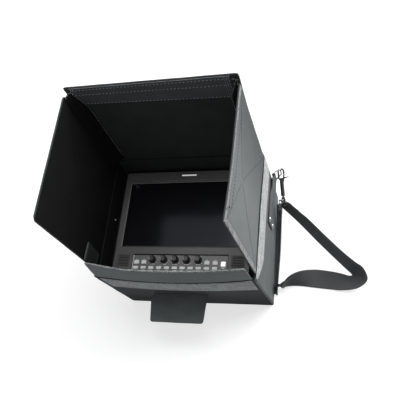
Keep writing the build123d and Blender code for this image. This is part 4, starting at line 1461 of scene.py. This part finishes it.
    def corners(self) -> None:
        """Build the gathered net that closes the corners between the lid and the sides."""
        mesh = Mesh(Finish.NET, Finish.PALE_THREAD)
        for panel in self.panels:
            self.corner_net(mesh, panel)
        net = mesh.build("corner_nets", "hood_lid", "lining", ["corner_strips"], 60.0)
        anchor = (0.0, self.sizes.inner_height * MM, 0.0)
        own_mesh(net)

    def corner_net(self, mesh: Mesh, panel: SidePanel) -> None:
        """Add one gathered strip, which hangs between the lid and a side panel.

        Args:
            mesh: The mesh.
            panel: The side panel.
        """
        z, side = self.sizes, panel.side
        low = z.top_rim + self.strip_inset
        band_rear = z.hood_front - self.band_gap - self.band_width
        shares = shared(0.0, 1.0, 0.07)

        def point(part: float, a: float, half: float) -> Vector:
            """Find a point of the strip.

            Args:
                part: A share of its depth.
                a: A share of its width.
                half: How far the face stands off the middle.

            Returns:
                The point.
            """
            t = low + (self.net_front - low) * part
            beyond = max(0.0, t - band_rear) / (self.net_front - band_rear)
            inner = side * (z.inner_width - self.strip_reach + (self.strip_reach - self.net_reach) * beyond)
            drop = self.rear_drop + (self.front_drop - self.rear_drop) * (t - low) / (self.net_front - low)
            top = z.inner_height + (t - z.top_rim) * math.tan(math.radians(self.lean)) - z.gap
            outer = panel.leaned(Vector((side * (z.inner_width - 1.0), top - drop, t))).x
            wave = math.sin(t * self.pleat + 2.0 * math.sin(a * 3.0 + t * 0.07))
            fold = self.crimp * wave * math.sin(math.pi * a)
            y = top - self.crimp - drop * (1 - a) + self.net_sag * math.sin(math.pi * a) + fold + half
            return Vector((outer + (inner - outer) * a, min(y, top), t))

        for face in (0, 1):
            rows, cloth = [], []
            for part in shared(0.0, 1.0, 0.0125):
                hems = [min(a, 1 - a, part * 8, (1 - part) * 8, 0.12) / 0.12 for a in shares]
                sign = 0.35 if face == 0 else -0.35
                rows.append([point(part, a, sign * (0.3 + 0.7 * hem)) for a, hem in zip(shares, hems)])
                cloth.append([(a * 26.0, p.z) for a, p in zip(shares, rows[-1])])
            mesh.grid(rows, cloth, flip=(face == 0) == (side > 0))
        hem = [point(part, 0.95, -0.4) for part in shared(0.02, 0.99, 0.03)]
        front = [point(0.99, a, -0.4) for a in shared(0.04, 0.96, 0.1)]
        for line in (hem, front):
            mesh.stitches(line, Vector((-0.3 * side, -0.95, 0)), self.net_stitch)


@dataclass
class HoodLip:
    """The short bottom panel that follows the bulge of the bottom wall."""

    sizes: CaseSizes = SIZES
    depth: float = 47.0
    taper: float = 2.0
    lift: float = 5.0
    right_gap: float = 2.5
    trim: float = 0.8
    corner: float = 3.0
    binding: float = 3.5
    bend: float = 18.0
    stitch: Stitch = Stitch(3, 2.4, 1.1, 0.25)

    def board(self) -> Board:
        """The lip as a board."""
        z = self.sizes
        low = z.bottom_rim + z.gap
        half = z.inner_width - self.trim - 2 * z.gap

        def width(t: float) -> float:
            """Half the lip's width at a depth."""
            return half - self.taper * (t - low) / self.depth

        def place(s: float, t: float) -> Vector:
            """Find a point of the lip's middle surface.

            Args:
                s: The place across the case.
                t: The height above the back.

            Returns:
                The point.
            """
            share = (t - low) / self.depth
            across = s / width(t)
            bow = (z.bottom_bow - self.taper * share) * max(0.0, 1 - across**2)
            lifted = self.lift * share * ease(-across * 1.6 - 0.6)
            return Vector((s, lifted + z.board / 2 - z.half_height - z.bottom_flare - bow, t))

        return Board(
            place, lambda t: (-width(t), width(t) - self.right_gap), low, low + self.depth, z.board,
            corner=self.corner, outward=Vector((0, -1, 0)),
            relief=lambda s, t: rough(Vector((s, t, 0)), 26.0, 0.35, 11.0),
        )

    def build(self) -> None:
        """Build the lip with its binding and stitches, on no body, its transform baked into its mesh."""
        mesh = Mesh(Finish.LIP_NYLON, Finish.LINING, Finish.BINDING, Finish.THREAD)
        board = self.board()
        board.add_to(mesh, bound_front(board, self.binding, 1.2))
        for inset, sides in ((self.binding + 0.9, "t"), (11.0, "t"), (2.5, "lr")):
            board.sew(mesh, 0, inset, sides, self.stitch)
        lip = mesh.build("hood_lip_cloth", "", "hood_panel", ["hood_lip"], 50.0)
        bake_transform(lip)


@dataclass
class BottomFlap:
    """The hemmed flap under the case."""

    centre: float = -10.5
    root: float = -109.473
    level: float = 90.0
    root_width: float = 96.0
    end_width: float = 88.0
    length: float = 47.0
    tuck: float = 6.0
    thickness: float = 1.5
    corner: float = 4.0
    stitch: Stitch = Stitch(1, 2.2, 1.2, 0.24)

    def build(self) -> None:
        """Build the flap with a wide sewn hem."""

        def place(s: float, t: float) -> Vector:
            """The flap's middle surface."""
            droop = 1.6 * (t / self.length) ** 2 * (0.6 + 0.4 * math.cos(s * 0.05))
            wrinkle = rough(Vector((s + t, t - s, 0)), 27, 1.5) * ease(t / 12.0)
            return Vector((self.centre + s, self.root - t, self.level - droop + wrinkle))

        def span(t: float) -> Pair:
            """The flap's sides."""
            half = (self.root_width + (self.end_width - self.root_width) * t / self.length) / 2
            return -half + self.tuck * (1 - ease(t / 11.0)), half

        board = Board(place, span, 0.0, self.length, self.thickness, 3.0, self.corner)
        mesh = Mesh(Finish.FLAP_NYLON, Finish.THREAD, Finish.DARK_BINDING)
        board.add_to(mesh, lambda s, t, hem, face: 2 if hem < 1.2 else 0)
        for face in (0, 1):
            board.sew(mesh, face, 2.6, "lrt", self.stitch, 3.0)
            board.sew(mesh, face, 3.4, "b", self.stitch, 3.0)
        flap = mesh.build("bottom_flap_cloth", "bottom_flap", "nylon", ["bottom_flap"])


# ---- Inside the case ---------------------------------------------------------------------


@dataclass
class Padding:
    """The foam that holds the monitor."""

    outer: Pair = (123.0, 97.0)
    corner: float = 3.0
    frame_low: float = 46.0
    frame_high: float = 124.0
    hole_x: float = -3.0
    hole: Pair = (113.0, 91.5)
    hole_corner: float = 4.0
    pad_low: float = 4.5
    pad_high: float = 45.5
    step_high: float = 55.5
    step: Pair = (112.5, 91.0)
    cut: float = 1.2
    waver: float = 0.6
    arc: int = 5
    run: int = 24

    def ring(self, half: Pair, corner: float, z: float, x: float = 0.0) -> list[Vector]:
        """Points round a rounded rectangle.

        Args:
            half: Half its width and height.
            corner: Its corner radius.
            z: Its height.
            x: Its middle.

        Returns:
            The points, as many for any size.
        """
        points = []
        signs = ((1, 1), (-1, 1), (-1, -1), (1, -1))

        def at(quarter: int, degrees: float) -> Vector:
            """Find a point of a corner's arc.

            Args:
                quarter: The corner.
                degrees: The angle round its centre.

            Returns:
                The point.
            """
            sx, sy = signs[quarter % 4]
            a = math.radians(degrees)
            centre = Vector((x + sx * (half[0] - corner), sy * (half[1] - corner), z))
            return centre + Vector((math.cos(a), math.sin(a), 0)) * corner

        for quarter in range(4):
            points += [at(quarter, 90 * quarter + 22.5 * k) for k in range(self.arc)]
            after, begin = points[-1], at(quarter + 1, 90 * quarter + 90)
            points += [after.lerp(begin, k / self.run) for k in range(1, self.run)]
        for point in points:
            point.z += rough(point, 18.0, 0.5, 5.0)
        return points

    def block(self, name: str, node: str, levels: Sequence[tuple], closed: bool) -> None:
        """Build one foam piece from rings.

        Args:
            name: The piece's name.
            node: The CAD node it replaces.
            levels: Half sizes, corner, height and middle of each ring.
            closed: Join the last ring to the first.
        """
        rings = [self.ring(*level) for level in levels]
        if closed:
            rings.append([p.copy() for p in rings[0]])
        mesh = Mesh(Finish.FOAM)
        mesh.grid(rings, [[(p.x, p.y) for p in ring] for ring in rings], wrap=True)
        if not closed:
            mesh.cap(rings[0], flat=True)
            mesh.cap(rings[-1], flat=True)
        mesh.build(name, "case", "foam", [node])

    def build(self) -> None:
        """Build the frame and the rear pad, their edges cut back."""
        cut, c, x = self.cut, self.corner, self.hole_x
        less = (self.outer[0] - cut, self.outer[1] - cut)
        wide = (self.hole[0] + cut, self.hole[1] + cut)
        low, high = self.frame_low + self.waver, self.frame_high - self.waver
        hole, hc = self.hole, self.hole_corner
        self.block("foam_surround", "foam_frame", [
            (self.outer, c, low + cut), (self.outer, c, high - cut), (less, c, high),
            (wide, hc, high, x), (hole, hc, high - cut, x), (hole, hc, low + cut, x),
            (wide, hc, low, x), (less, c, low),
        ], True)
        bottom, middle = self.pad_low + self.waver, self.pad_high - self.waver
        top = self.step_high - self.waver
        self.block("foam_back_pad", "rear_foam_pad", [
            (less, c, bottom), (self.outer, c, bottom + cut), (self.outer, c, middle - cut),
            (less, c, middle), (self.step, hc, middle, x), (self.step, hc, top - 1.0, x),
            ((self.step[0] - 1, self.step[1] - 1), hc, top, x),
        ], False)


@dataclass
class Monitor:
    """The monitor's own pieces, dressed, with generic marks by its controls."""

    plate_z: float = 131.0
    face_z: float = 133.0
    x: float = -3.0
    plate_y: float = -71.5
    plate_half: float = 79.0
    plate_tall: float = 28.0
    seam: float = 1.3
    knob_radius: float = 6.1
    tick_gap: float = 1.5
    tick_turn: float = 32.5
    tick_start: float = -40.0
    tick: Pair = (0.5, 0.9)
    glass_border: tuple = (-98.85, 12.4, 4.9, 112.8)
    left_bevel_highlight: tuple = (-102.2, 12.4, 1.8, 114.0)
    top_bevel_highlight: tuple = (-4.0, 70.0, 195.0, 1.2)
    power_bar: tuple = (71.1, -6.9, 4.6, 1.3)
    lower_bars: tuple = (-12.1, 4.6, 0.5)
    upper_bars: tuple = (5.4, 4.0, 0.5)
    knob_bars: tuple = (-2.2, 7.5, 0.9)
    upper_keys: tuple = (-71.9, -59.4, 44.9, 58.3)
    first_key: float = -72.5
    key_pitch: float = 13.06
    first_knob: float = -45.1
    knob_pitch: float = 18.95
    knob_y: float = 5.3

    def dress(self) -> None:
        """Give each carried-over node its finish."""
        finishes = (
            ("monitor_bezel", Finish.BEZEL), ("monitor_rear_shell", Finish.SHELL),
            ("control_plate", Finish.PLATE), ("screen_glass", Finish.GLASS),
            ("lcd_module", Finish.PANEL_BACK), ("tally_lens", Finish.TALLY),
            ("speaker_grilles", Finish.GRILLE), ("speakers", Finish.CONE), ("main_board", Finish.BOARD),
            ("control_board", Finish.BOARD), ("power_key", Finish.POWER_KEY),
        )
        for node, finish in finishes:
            dress([node], finish)
        for name, count in (("knob", 5), ("upper_key", 4), ("lower_key", 11)):
            finish = Finish.KNOB if name == "knob" else Finish.KEY
            dress([f"{name}_{i + 1}" for i in range(count)], finish)

    def mark(self, mesh: Mesh, place: Sequence[float], z: float, finish: int = 0) -> None:
        """Add a thin printed patch.

        Args:
            mesh: The mesh.
            place: Its middle across and up the monitor, width and height.
            z: What it is printed on.
            finish: The finish.
        """
        x, y, width, height = place
        corners = [(-1, -1), (1, -1), (1, 1), (-1, 1)]
        low = [Vector((self.x + x + a * width / 2, y + b * height / 2, z + 0.01)) for a, b in corners]
        high = [p + Vector((0, 0, 0.06)) for p in low]
        mesh.grid([low, high], [[(0.0, 0.0)] * 4] * 2, lambda i, j: finish, wrap=True)
        mesh.cap(high, finish)

    def on_plate(self, mesh: Mesh, place: Sequence[float], finish: int = 0) -> None:
        """Add a patch on the control plate, its height given from the plate's middle."""
        x, y, width, height = place
        self.mark(mesh, (x, self.plate_y + y, width, height), self.plate_z, finish)

    def marks(self) -> None:
        """Build the glass's border, light strips on the screen's bevels as painted highlights, the plate's
        seam as painted shadow on three sides and a painted highlight on its left, bars by the keys and ticks
        round the knobs.
        """
        mesh = Mesh(Finish.MARK, Finish.SEAM, Finish.GLASS, Finish.BEVEL_HIGHLIGHT)
        # Painted highlights: the strips on the screen's left and top bevels are lighter copies of the bezel
        # plastic.
        for place, finish in ((self.glass_border, 2), (self.left_bevel_highlight, 3), (self.top_bevel_highlight, 3)):
            self.mark(mesh, place, self.face_z, finish)
        seam = self.seam
        half, tall = self.plate_half - seam / 2, self.plate_tall / 2 - seam / 2
        # Painted shadow: dark strips in the gap on the plate's right, top and bottom.
        for place in ((half, 0, seam, 2 * tall), (0, tall, 2 * half, seam), (0, -tall, 2 * half, seam)):
            self.on_plate(mesh, place, 1)
        # Painted highlight: a pale strip along the plate's left edge.
        self.on_plate(mesh, (-half, 0, seam / 2, 2 * tall))
        for i in range(11):
            self.on_plate(mesh, (self.first_key + self.key_pitch * i, *self.lower_bars))
        for x in self.upper_keys:
            self.on_plate(mesh, (x, *self.upper_bars))
        self.on_plate(mesh, self.power_bar)
        reach = self.knob_radius + self.tick_gap
        for x in (self.first_knob + self.knob_pitch * i for i in range(5)):
            self.on_plate(mesh, (x, *self.knob_bars))
            for k in range(9):
                a = math.radians(self.tick_turn * k + self.tick_start)
                size = self.tick[k in (0, 4, 8)]
                self.on_plate(mesh, (x + reach * math.cos(a), self.knob_y + reach * math.sin(a), size, size))
        mesh.build("control_marks", "case", "key")


# ---- Webbing, strap and zip -----------------------------------------------------------------


def smooth_line(points: Sequence[Vector], step: float) -> list[Vector]:
    """Points along a smooth curve.

    Args:
        points: What it passes through.
        step: The widest gap, as a share of the whole.

    Returns:
        The points.
    """
    line = []
    for share in shared(0.0, 1.0, step):
        place = share * (len(points) - 1)
        i = min(int(place), len(points) - 2)
        u = place - i
        b, c = points[i], points[i + 1]
        a = points[i - 1] if i > 0 else b * 2 - c
        d = points[i + 2] if i + 2 < len(points) else c * 2 - b
        cubic = (b * 3 - a - c * 3 + d) * u**3
        line.append(((b * 2) + (c - a) * u + (a * 2 - b * 5 + c * 4 - d) * u * u + cubic) / 2)
    return line


def ribbon(mesh: Mesh, edges: Edges, thickness: float) -> list[Vector]:
    """Add flat webbing between two edge lines.

    Args:
        mesh: The mesh.
        edges: Pairs of points, one on each selvedge.
        thickness: The webbing's thickness.

    Returns:
        Its normal at each pair.
    """
    profile = []
    for a in (0.0, 0.03, 0.10, 0.5, 0.90, 0.97, 1.0):
        round_off = math.sqrt(max(0.0, 1 - (1 - min(min(a, 1 - a) / 0.05, 1.0)) ** 2))
        profile.append((a, thickness / 2 * min(1.0, round_off + 0.15)))
    loop = profile + [(a, -h) for a, h in reversed(profile)]
    middles = [(a + b) / 2 for a, b in edges]
    rows, cloth, normals = [], [], []
    along = 0.0
    for i, (a, b) in enumerate(edges):
        ahead = middles[min(i + 1, len(middles) - 1)] - middles[max(i - 1, 0)]
        normals.append(ahead.cross(b - a).normalized())
        rows.append([a.lerp(b, share) + normals[-1] * h for share, h in loop])
        along += (middles[i] - middles[max(i - 1, 0)]).length
        cloth.append([(share * (b - a).length + (0 if h > 0 else 50), along) for share, h in loop])
    mesh.grid(rows, cloth, wrap=True)
    mesh.cap(rows[0])
    mesh.cap(rows[-1])
    return normals


@dataclass
class SideWebbing:
    """Webbing sewn to the right wall, folded round the D ring's bar."""

    wall: float = 128.7
    low: float = 12.0
    seam: float = 60.0
    top: float = 100.0
    level: float = 78.0
    width: float = 38.0
    eye_width: float = 20.4
    layer: float = 1.0
    freed: float = 18.0
    shoulder: float = 8.0
    throat: float = 2.0
    spread: float = 8.0
    stand: float = 4.5
    eye_radius: float = 2.7
    eye: Pair = (132.7, 103.7)
    box_inset: float = 3.0
    box_tall: float = 14.0
    stitch: Stitch = Stitch(1, 2.2, 1.0, 0.24)

    def build(self) -> None:
        """Build the folded webbing, outer layer first, with its sewn box."""
        wide, neck = self.width, self.eye_width + self.spread
        far = self.wall + self.stand
        near = far - self.layer
        outer, inner = self.wall + 1.5 * self.layer, self.wall + 0.5 * self.layer
        free, shoulder, throat = self.seam + self.freed, self.top - self.shoulder, self.top - self.throat
        path = [(outer, self.low, wide), (outer, self.seam, wide), (far, free, wide)]
        path += [(far + 0.3, shoulder, wide), (far + 0.8, throat, neck)]
        for a in (math.radians(30 * k - 30) for k in range(9)):
            x, y = self.eye[0] + self.eye_radius * math.cos(a), self.eye[1] + self.eye_radius * math.sin(a)
            path.append((x, y, self.eye_width))
        path += [(near - 0.4, throat, neck), (near, shoulder, wide), (near, free, wide)]
        path += [(inner, self.seam, wide), (inner, self.low, wide)]
        edges = []
        for p in smooth_line([Vector(p) for p in path], 0.008):
            middle = self.level + 0.25 * math.sin(p.y * 0.21)
            edges.append((Vector((p.x, p.y, middle - p.z / 2)), Vector((p.x, p.y, middle + p.z / 2))))
        mesh = Mesh(Finish.WALL_WEBBING, Finish.THREAD)
        ribbon(mesh, edges, self.layer)
        self.sewn_box(mesh)
        mesh.build("side_webbing_sewn", "case", "webbing", ["side_webbing"])

    def sewn_box(self, mesh: Mesh) -> None:
        """Sew a box and cross through the webbing.

        Args:
            mesh: The mesh.
        """
        x, inset = self.wall + 2.02, self.box_inset
        low, high = self.low + inset, self.seam - inset
        near, far = self.level - self.width / 2 + inset, self.level + self.width / 2 - inset
        corners = [Vector((x, a, b)) for a, b in ((low, near), (high, near), (high, far), (low, far))]
        lines = list(zip(corners, corners[1:] + corners[:1]))
        lines.append((corners[1], Vector((x, low + self.box_tall, far))))
        lines.append((corners[2], Vector((x, low + self.box_tall, near))))
        for line in lines:
            mesh.stitches(line, Vector((1, 0, 0)), self.stitch)


@dataclass
class ShoulderStrap:
    """The webbing strap that lies by the case, folded round a ring at each end."""

    thickness: float = 1.8
    ring_gap: float = 1.7
    fold_length: float = 15.5
    laid_back: tuple = ((8.0, 0.25), (22.0, 0.2))
    start: Pair = (128.7, 100.0)
    ring_tip: Triple = (143.31, 114.31, 78.0)
    stitch: Stitch = Stitch(1, 2.6, 1.6, 0.22)
    lower: tuple = (
        (13.8, -33.5, 32.0), (43.1, -57.1, 13.0), (72.1, -85.3, 2.0), (102.3, -116.7, 1.3),
        (123.3, -138.0, 1.3), (128.3, -143.0, 1.3), (129.3, -146.0, 1.5), (124.3, -146.5, 1.5),
        (112.0, -143.0, 1.3), (93.9, -139.5, 1.3), (68.5, -137.5, 3.0), (46.3, -146.0, 21.0),
        (29.3, -158.0, 30.5), (17.8, -174.0, 33.0),
    )
    upper: tuple = (
        (26.2, -37.8, 60.6), (57.0, -57.6, 41.5), (86.0, -84.8, 31.0), (115.4, -114.6, 30.6),
        (134.3, -131.5, 31.0), (147.8, -141.0, 26.0), (153.8, -158.0, 17.0), (137.8, -171.0, 11.5),
        (113.3, -173.5, 6.0), (93.9, -171.3, 1.7), (68.8, -169.0, 1.3), (46.8, -166.8, 1.3),
        (29.8, -166.8, 1.3), (17.8, -168.5, 1.3),
    )

    def selvedge(self, stations: Sequence[Triple]) -> list[Vector]:
        """One edge of the strap through its stations, kept above the floor."""
        line = smooth_line([Vector((*self.start, 0.0)) + Vector(p) for p in stations], 0.006)
        return [Vector((p.x, p.y, max(p.z, 1.0))) for p in line]

    def fold(self, mesh: Mesh, edge: tuple[Vector, Vector], towards: Vector, back: Vector) -> None:
        """Fold an end round its ring's bar and lay it back on the strap.

        Args:
            mesh: The mesh.
            edge: The strap's last pair of points.
            towards: Where the ring points.
            back: A point of the strap further along.
        """
        a, b = edge
        middle = (a + b) / 2
        along = (b - a).normalized()
        out = (towards - along * towards.dot(along)).normalized()
        centre = middle + out * self.ring_gap
        up = along.cross(out)
        if up.dot(Vector((1, 0, 1))) <= 0:
            up = -up
        radius = self.ring_gap + self.thickness / 2
        run = back - middle
        run = (run - along * run.dot(along)).normalized()
        points = [centre - up * radius + run * 5.0]
        for angle in (math.radians(15 * k - 90) for k in range(13)):
            points.append(centre + out * radius * math.cos(angle) + up * radius * math.sin(angle))
        points.append(centre + up * (radius - 0.4) + run * 4.0)
        points += [middle + up * (self.thickness + lift) + run * reach for reach, lift in self.laid_back]
        wide = (b - a).length - 2.0
        pairs = []
        for share, p in zip(shared(0.0, 1.0, 0.02), smooth_line(points, 0.02)):
            open_out = max(1 - min(share * 4.0, 1.0), kept((share - 0.72) / 0.2))
            half = (self.fold_length + (wide - self.fold_length) * open_out) / 2
            pairs.append((p - along * half, p + along * half))
        ribbon(mesh, pairs, self.thickness * 0.9)

    def build(self) -> None:
        """Build the strap."""
        mesh = Mesh(Finish.WEBBING, Finish.THREAD)
        edges = list(zip(self.selvedge(self.lower), self.selvedge(self.upper)))
        middles = [(a + b) / 2 for a, b in edges]
        normals = ribbon(mesh, edges, self.thickness)
        self.fold(mesh, edges[0], Vector(self.ring_tip) - middles[0], middles[8])
        self.fold(mesh, edges[-1], Vector((-1, 0, 0)), middles[-9])

        def up_at(point: Vector) -> Vector:
            """The strap's normal nearest a point."""
            return normals[min(range(0, len(edges), 2), key=lambda i: (middles[i] - point).length)]

        for share in (0.09, 0.91):
            for sign in (1, -1):
                lift = sign * (self.thickness / 2 + 0.05)
                line = [a.lerp(b, share) + n * lift for (a, b), n in zip(edges, normals)]
                mesh.stitches(line[::3], lambda p, k=sign: up_at(p) * k, self.stitch)
        mesh.build("shoulder_strap_woven", "case", "webbing", ["shoulder_strap"])


@dataclass
class StrapAnchor:
    """The tab sewn to the wall that holds the strap's lower ring."""

    wall: float = 128.7
    thickness: float = 1.2
    width: float = 4.08
    ring_gap: float = 1.7
    ring_depth: float = 8.0
    sewn_gap: float = 0.3
    mouth: float = 4.0
    apart: Pair = (0.6, 0.8)
    strap_end: tuple = ((146.5, -74.0, 33.0), (146.5, -68.5, 1.3))

    def build(self) -> None:
        """Build the tab as webbing folded round the ring's short bar."""
        first, last = (Vector(p) for p in self.strap_end)
        along = (last - first).normalized()
        out = Vector((-1, 0, 0))
        up = along.cross(out).normalized()
        bar = (first + last) / 2 + out * (self.ring_gap + self.ring_depth)
        radius = self.ring_gap + self.thickness / 2
        reach = bar.x - self.wall
        sewn, mouth = out * (reach - self.sewn_gap), out * self.mouth
        points = [bar + sewn + up * self.apart[0], bar + mouth + up * self.apart[1]]
        for angle in (math.radians(135 - 27 * k) for k in range(11)):
            points.append(bar - out * radius * math.cos(angle) + up * radius * math.sin(angle))
        points += [bar + mouth - up * self.apart[1], bar + sewn - up * self.apart[0]]
        half = along * self.width / 2
        mesh = Mesh(Finish.WEBBING)
        ribbon(mesh, [(p - half, p + half) for p in smooth_line(points, 0.02)], self.thickness * 0.9)
        mesh.build("strap_anchor_sewn", "case", "webbing", ["strap_anchor"])


@dataclass
class ZipStrip:
    """The zip's tape and coil along the back's right edge."""

    teeth_x: float = 135.5
    level: float = 8.0
    reach: float = 84.0
    radius: float = 1.7
    root: float = 127.75
    thickness: float = 1.2
    pitch: float = 1.6
    bow: float = 2.2
    stop_half: float = 1.4
    stop_radius: float = 1.85
    coil_radius: float = 0.48
    seam_inset: float = 2.2
    end_gap: float = 2.0
    stitch: Stitch = Stitch(2, 2.2, 1.1, 0.2)

    def bowed(self, y: float) -> float:
        """How far the strip follows the slack wall outwards at a place up the monitor."""
        return self.bow * ease((y + self.reach) / self.reach)

    def build(self) -> None:
        """Build the tape, its coil and the stops."""

        def place(s: float, t: float) -> Vector:
            """The tape's middle surface."""
            lift = 0.25 * math.sin(s * 0.13) * (t - self.root) / 8
            return Vector((t + self.bowed(s), s, self.level + lift))

        reach = self.reach
        tape = Board(place, lambda t: (-reach, reach), self.root, self.teeth_x - 0.4, self.thickness)
        mesh = Mesh(Finish.ZIP_TAPE, Finish.ZIP_COIL, Finish.THREAD)
        tape.add_to(mesh)
        for face in (0, 1):
            point = tape.on(face, 0.04)
            places = shared(-reach + self.end_gap, reach - self.end_gap, 5.0)
            line = [point(s, self.root + self.seam_inset) for s in places]
            mesh.stitches(line, tape.outward if face == 0 else -tape.outward, self.stitch)
        for i in range(int(2 * reach / self.pitch)):
            self.tooth(mesh, -reach + self.pitch * (i + 0.5), 1 if i % 2 else -1)
        for y in (-reach, reach):
            ends = [y + self.stop_half * (k / 3 - 1) for k in range(7)]
            path = [Vector((self.teeth_x + self.bowed(y), end, self.level)) for end in ends]
            mesh.tube(path, lambda a: self.stop_radius * math.sqrt(max(0.12, 1 - (2 * a - 1) ** 4)), 10, 1)
        mesh.build("zip_strip_woven", "case", "zip_tape", ["zip_strip"])

    def tooth(self, mesh: Mesh, y: float, sign: int) -> None:
        """Add one turn of the coil.

        Args:
            mesh: The mesh.
            y: Where it is.
            sign: Which half of the coil it belongs to.
        """
        path = []
        for a in (math.radians(45 * k) for k in range(9)):
            x = self.teeth_x + self.bowed(y) + sign * 0.35 + (self.radius - 0.55) * math.cos(a)
            z = self.level + (self.radius - 0.5) * math.sin(a)
            path.append(Vector((x, y + 0.35 * math.sin(a * 0.5), z)))
        mesh.tube(path, lambda a: self.coil_radius, 5, 1)


class Hardware:
    """The metal pieces, dressed."""

    def build(self) -> None:
        """Give each metal node its finish."""
        dress(("d_ring", "webbing_rivets"), Finish.CHROME)
        rings = ("strap_ring_upper", "strap_ring_lower")
        dress(("snap_hook_body", "snap_hook_gate", *rings), Finish.DARK_CHROME)
        dress(("zip_slider", "zip_pull"), Finish.ZIP_METAL)


# ---- Studio ------------------------------------------------------------------------------------


@dataclass
class Studio:
    """Camera, floor and soft lamps."""

    location: Triple = (256.51, -322.84, 895.49)
    right: Triple = (0.9628, 0.0974, -0.2521)
    up: Triple = (0.0186, 0.9066, 0.4216)
    behind: Triple = (0.2696, -0.4106, 0.8711)
    lens: float = 48.0
    sensor: float = 36.0
    world_level: float = 0.32
    bounce: float = 0.25
    floor_half: float = 6.0
    floor_z: float = -0.0006
    floor_glow: float = 0.64
    floor_tones: Pair = (0.44, 0.46)

    def camera(self) -> None:
        """Make the camera."""
        data = bpy.data.cameras.new("camera")
        data.lens = self.lens
        data.sensor_width = self.sensor
        data.sensor_fit = "HORIZONTAL"
        data.clip_end = 50.0
        camera = put("camera", data)
        axes = Matrix((self.right, self.up, self.behind)).transposed()
        camera.matrix_world = Matrix.Translation(Vector(self.location) * MM) @ axes.to_4x4()
        bpy.context.scene.camera = camera

    def floor(self) -> None:
        """Make a white floor that shows only the object's shadow."""
        mesh = bpy.data.meshes.new("floor")
        half, z = self.floor_half, self.floor_z
        corners = [(-half, -half, z), (half, -half, z), (half, half, z), (-half, half, z)]
        mesh.from_pydata(corners, [], [(0, 1, 2, 3)])
        floor = put("floor", mesh)
        shader = Shader("floor")
        clouds = shader.noise(3.0, 2.0)
        seen = shader.background()
        white = shader.mix(clouds, *([tone] * 3 for tone in self.floor_tones))
        mesh.materials.append(shader.done({
            "Base Color": shader.mix(seen, [self.bounce] * 3, white),
            "Roughness": 0.95, "Specular IOR Level": 0.0,
            "Emission Color": shader.mix(seen, [0.0] * 3, [self.floor_glow] * 3), "Emission Strength": 1.0,
        }))

    def world(self) -> None:
        """Make the even surroundings, white where they are seen or mirrored."""
        world = bpy.data.worlds.new("studio")
        world.use_nodes = True
        bpy.context.scene.world = world
        nodes = Nodes(world.node_tree)
        back = nodes.tree.nodes["Background"]
        nodes.feed(back.inputs["Strength"], nodes.background() * (1.0 - self.world_level) + self.world_level)
        nodes.feed(back.inputs["Color"], (1.0, 1.0, 1.0))

    def lamp(self, name: str, place: Triple, target: float, size: float, power: float, tint: Triple) -> None:
        """Add a soft lamp.

        Args:
            name: Its name.
            place: Where it stands, in millimetres.
            target: The height over the back's centre that it faces.
            size: Its side, in millimetres.
            power: Its power in watts.
            tint: Its colour.
        """
        data = bpy.data.lights.new(name, "AREA")
        data.shape = "SQUARE"
        data.size = size * MM
        data.energy = power
        data.color = tint
        start = Vector(place) * MM
        aim = Vector((0.0, 0.0, target)) * MM - start
        turn = aim.to_track_quat("-Z", "Y").to_matrix().to_4x4()
        put(name, data).matrix_world = Matrix.Translation(start) @ turn

    def build(self) -> None:
        """Make the floor, the surroundings and the lamps: a broad key, one overhead and a weak fill."""
        self.floor()
        self.world()
        self.lamp("key", (1250.0, 700.0, 680.0), 150.0, 900.0, 25.0, (1.0, 1.0, 0.99))
        self.lamp("overhead", (250.0, 450.0, 1680.0), 130.0, 900.0, 24.0, (1.0, 1.0, 1.0))
        self.lamp("fill", (-300.0, -1300.0, 700.0), 150.0, 1000.0, 2.3, (0.88, 0.95, 1.0))
        bpy.context.scene.view_settings.view_transform = "Standard"


def main() -> None:
    """Build and dress the whole monitor and case."""
    logging.basicConfig(level=logging.INFO, format="%(name)s: %(message)s")
    studio = Studio()
    studio.camera()
    CaseShell().build()
    LoopBand().build()
    left = SidePanel(-1, SIZES.left_rim, 0.0, top_taper=-1.0, bottom_taper=5.4, corner=6.5)
    right = SidePanel(
        1, SIZES.right_rim, 0.9, bottom_taper=1.5, binding=11.0, base_in=2.4, top_out=1.5, bottom_in=4.5
    )
    for panel in (left, right):
        panel.build()
        LipTab(panel).build()
    HoodLid((left, right)).build()
    HoodLip().build()
    BottomFlap().build()
    Padding().build()
    monitor = Monitor()
    monitor.dress()
    monitor.marks()
    for piece in (SideWebbing, ShoulderStrap, StrapAnchor, ZipStrip, Hardware):
        piece().build()
    studio.build()


if __name__ == "__main__":
    main()
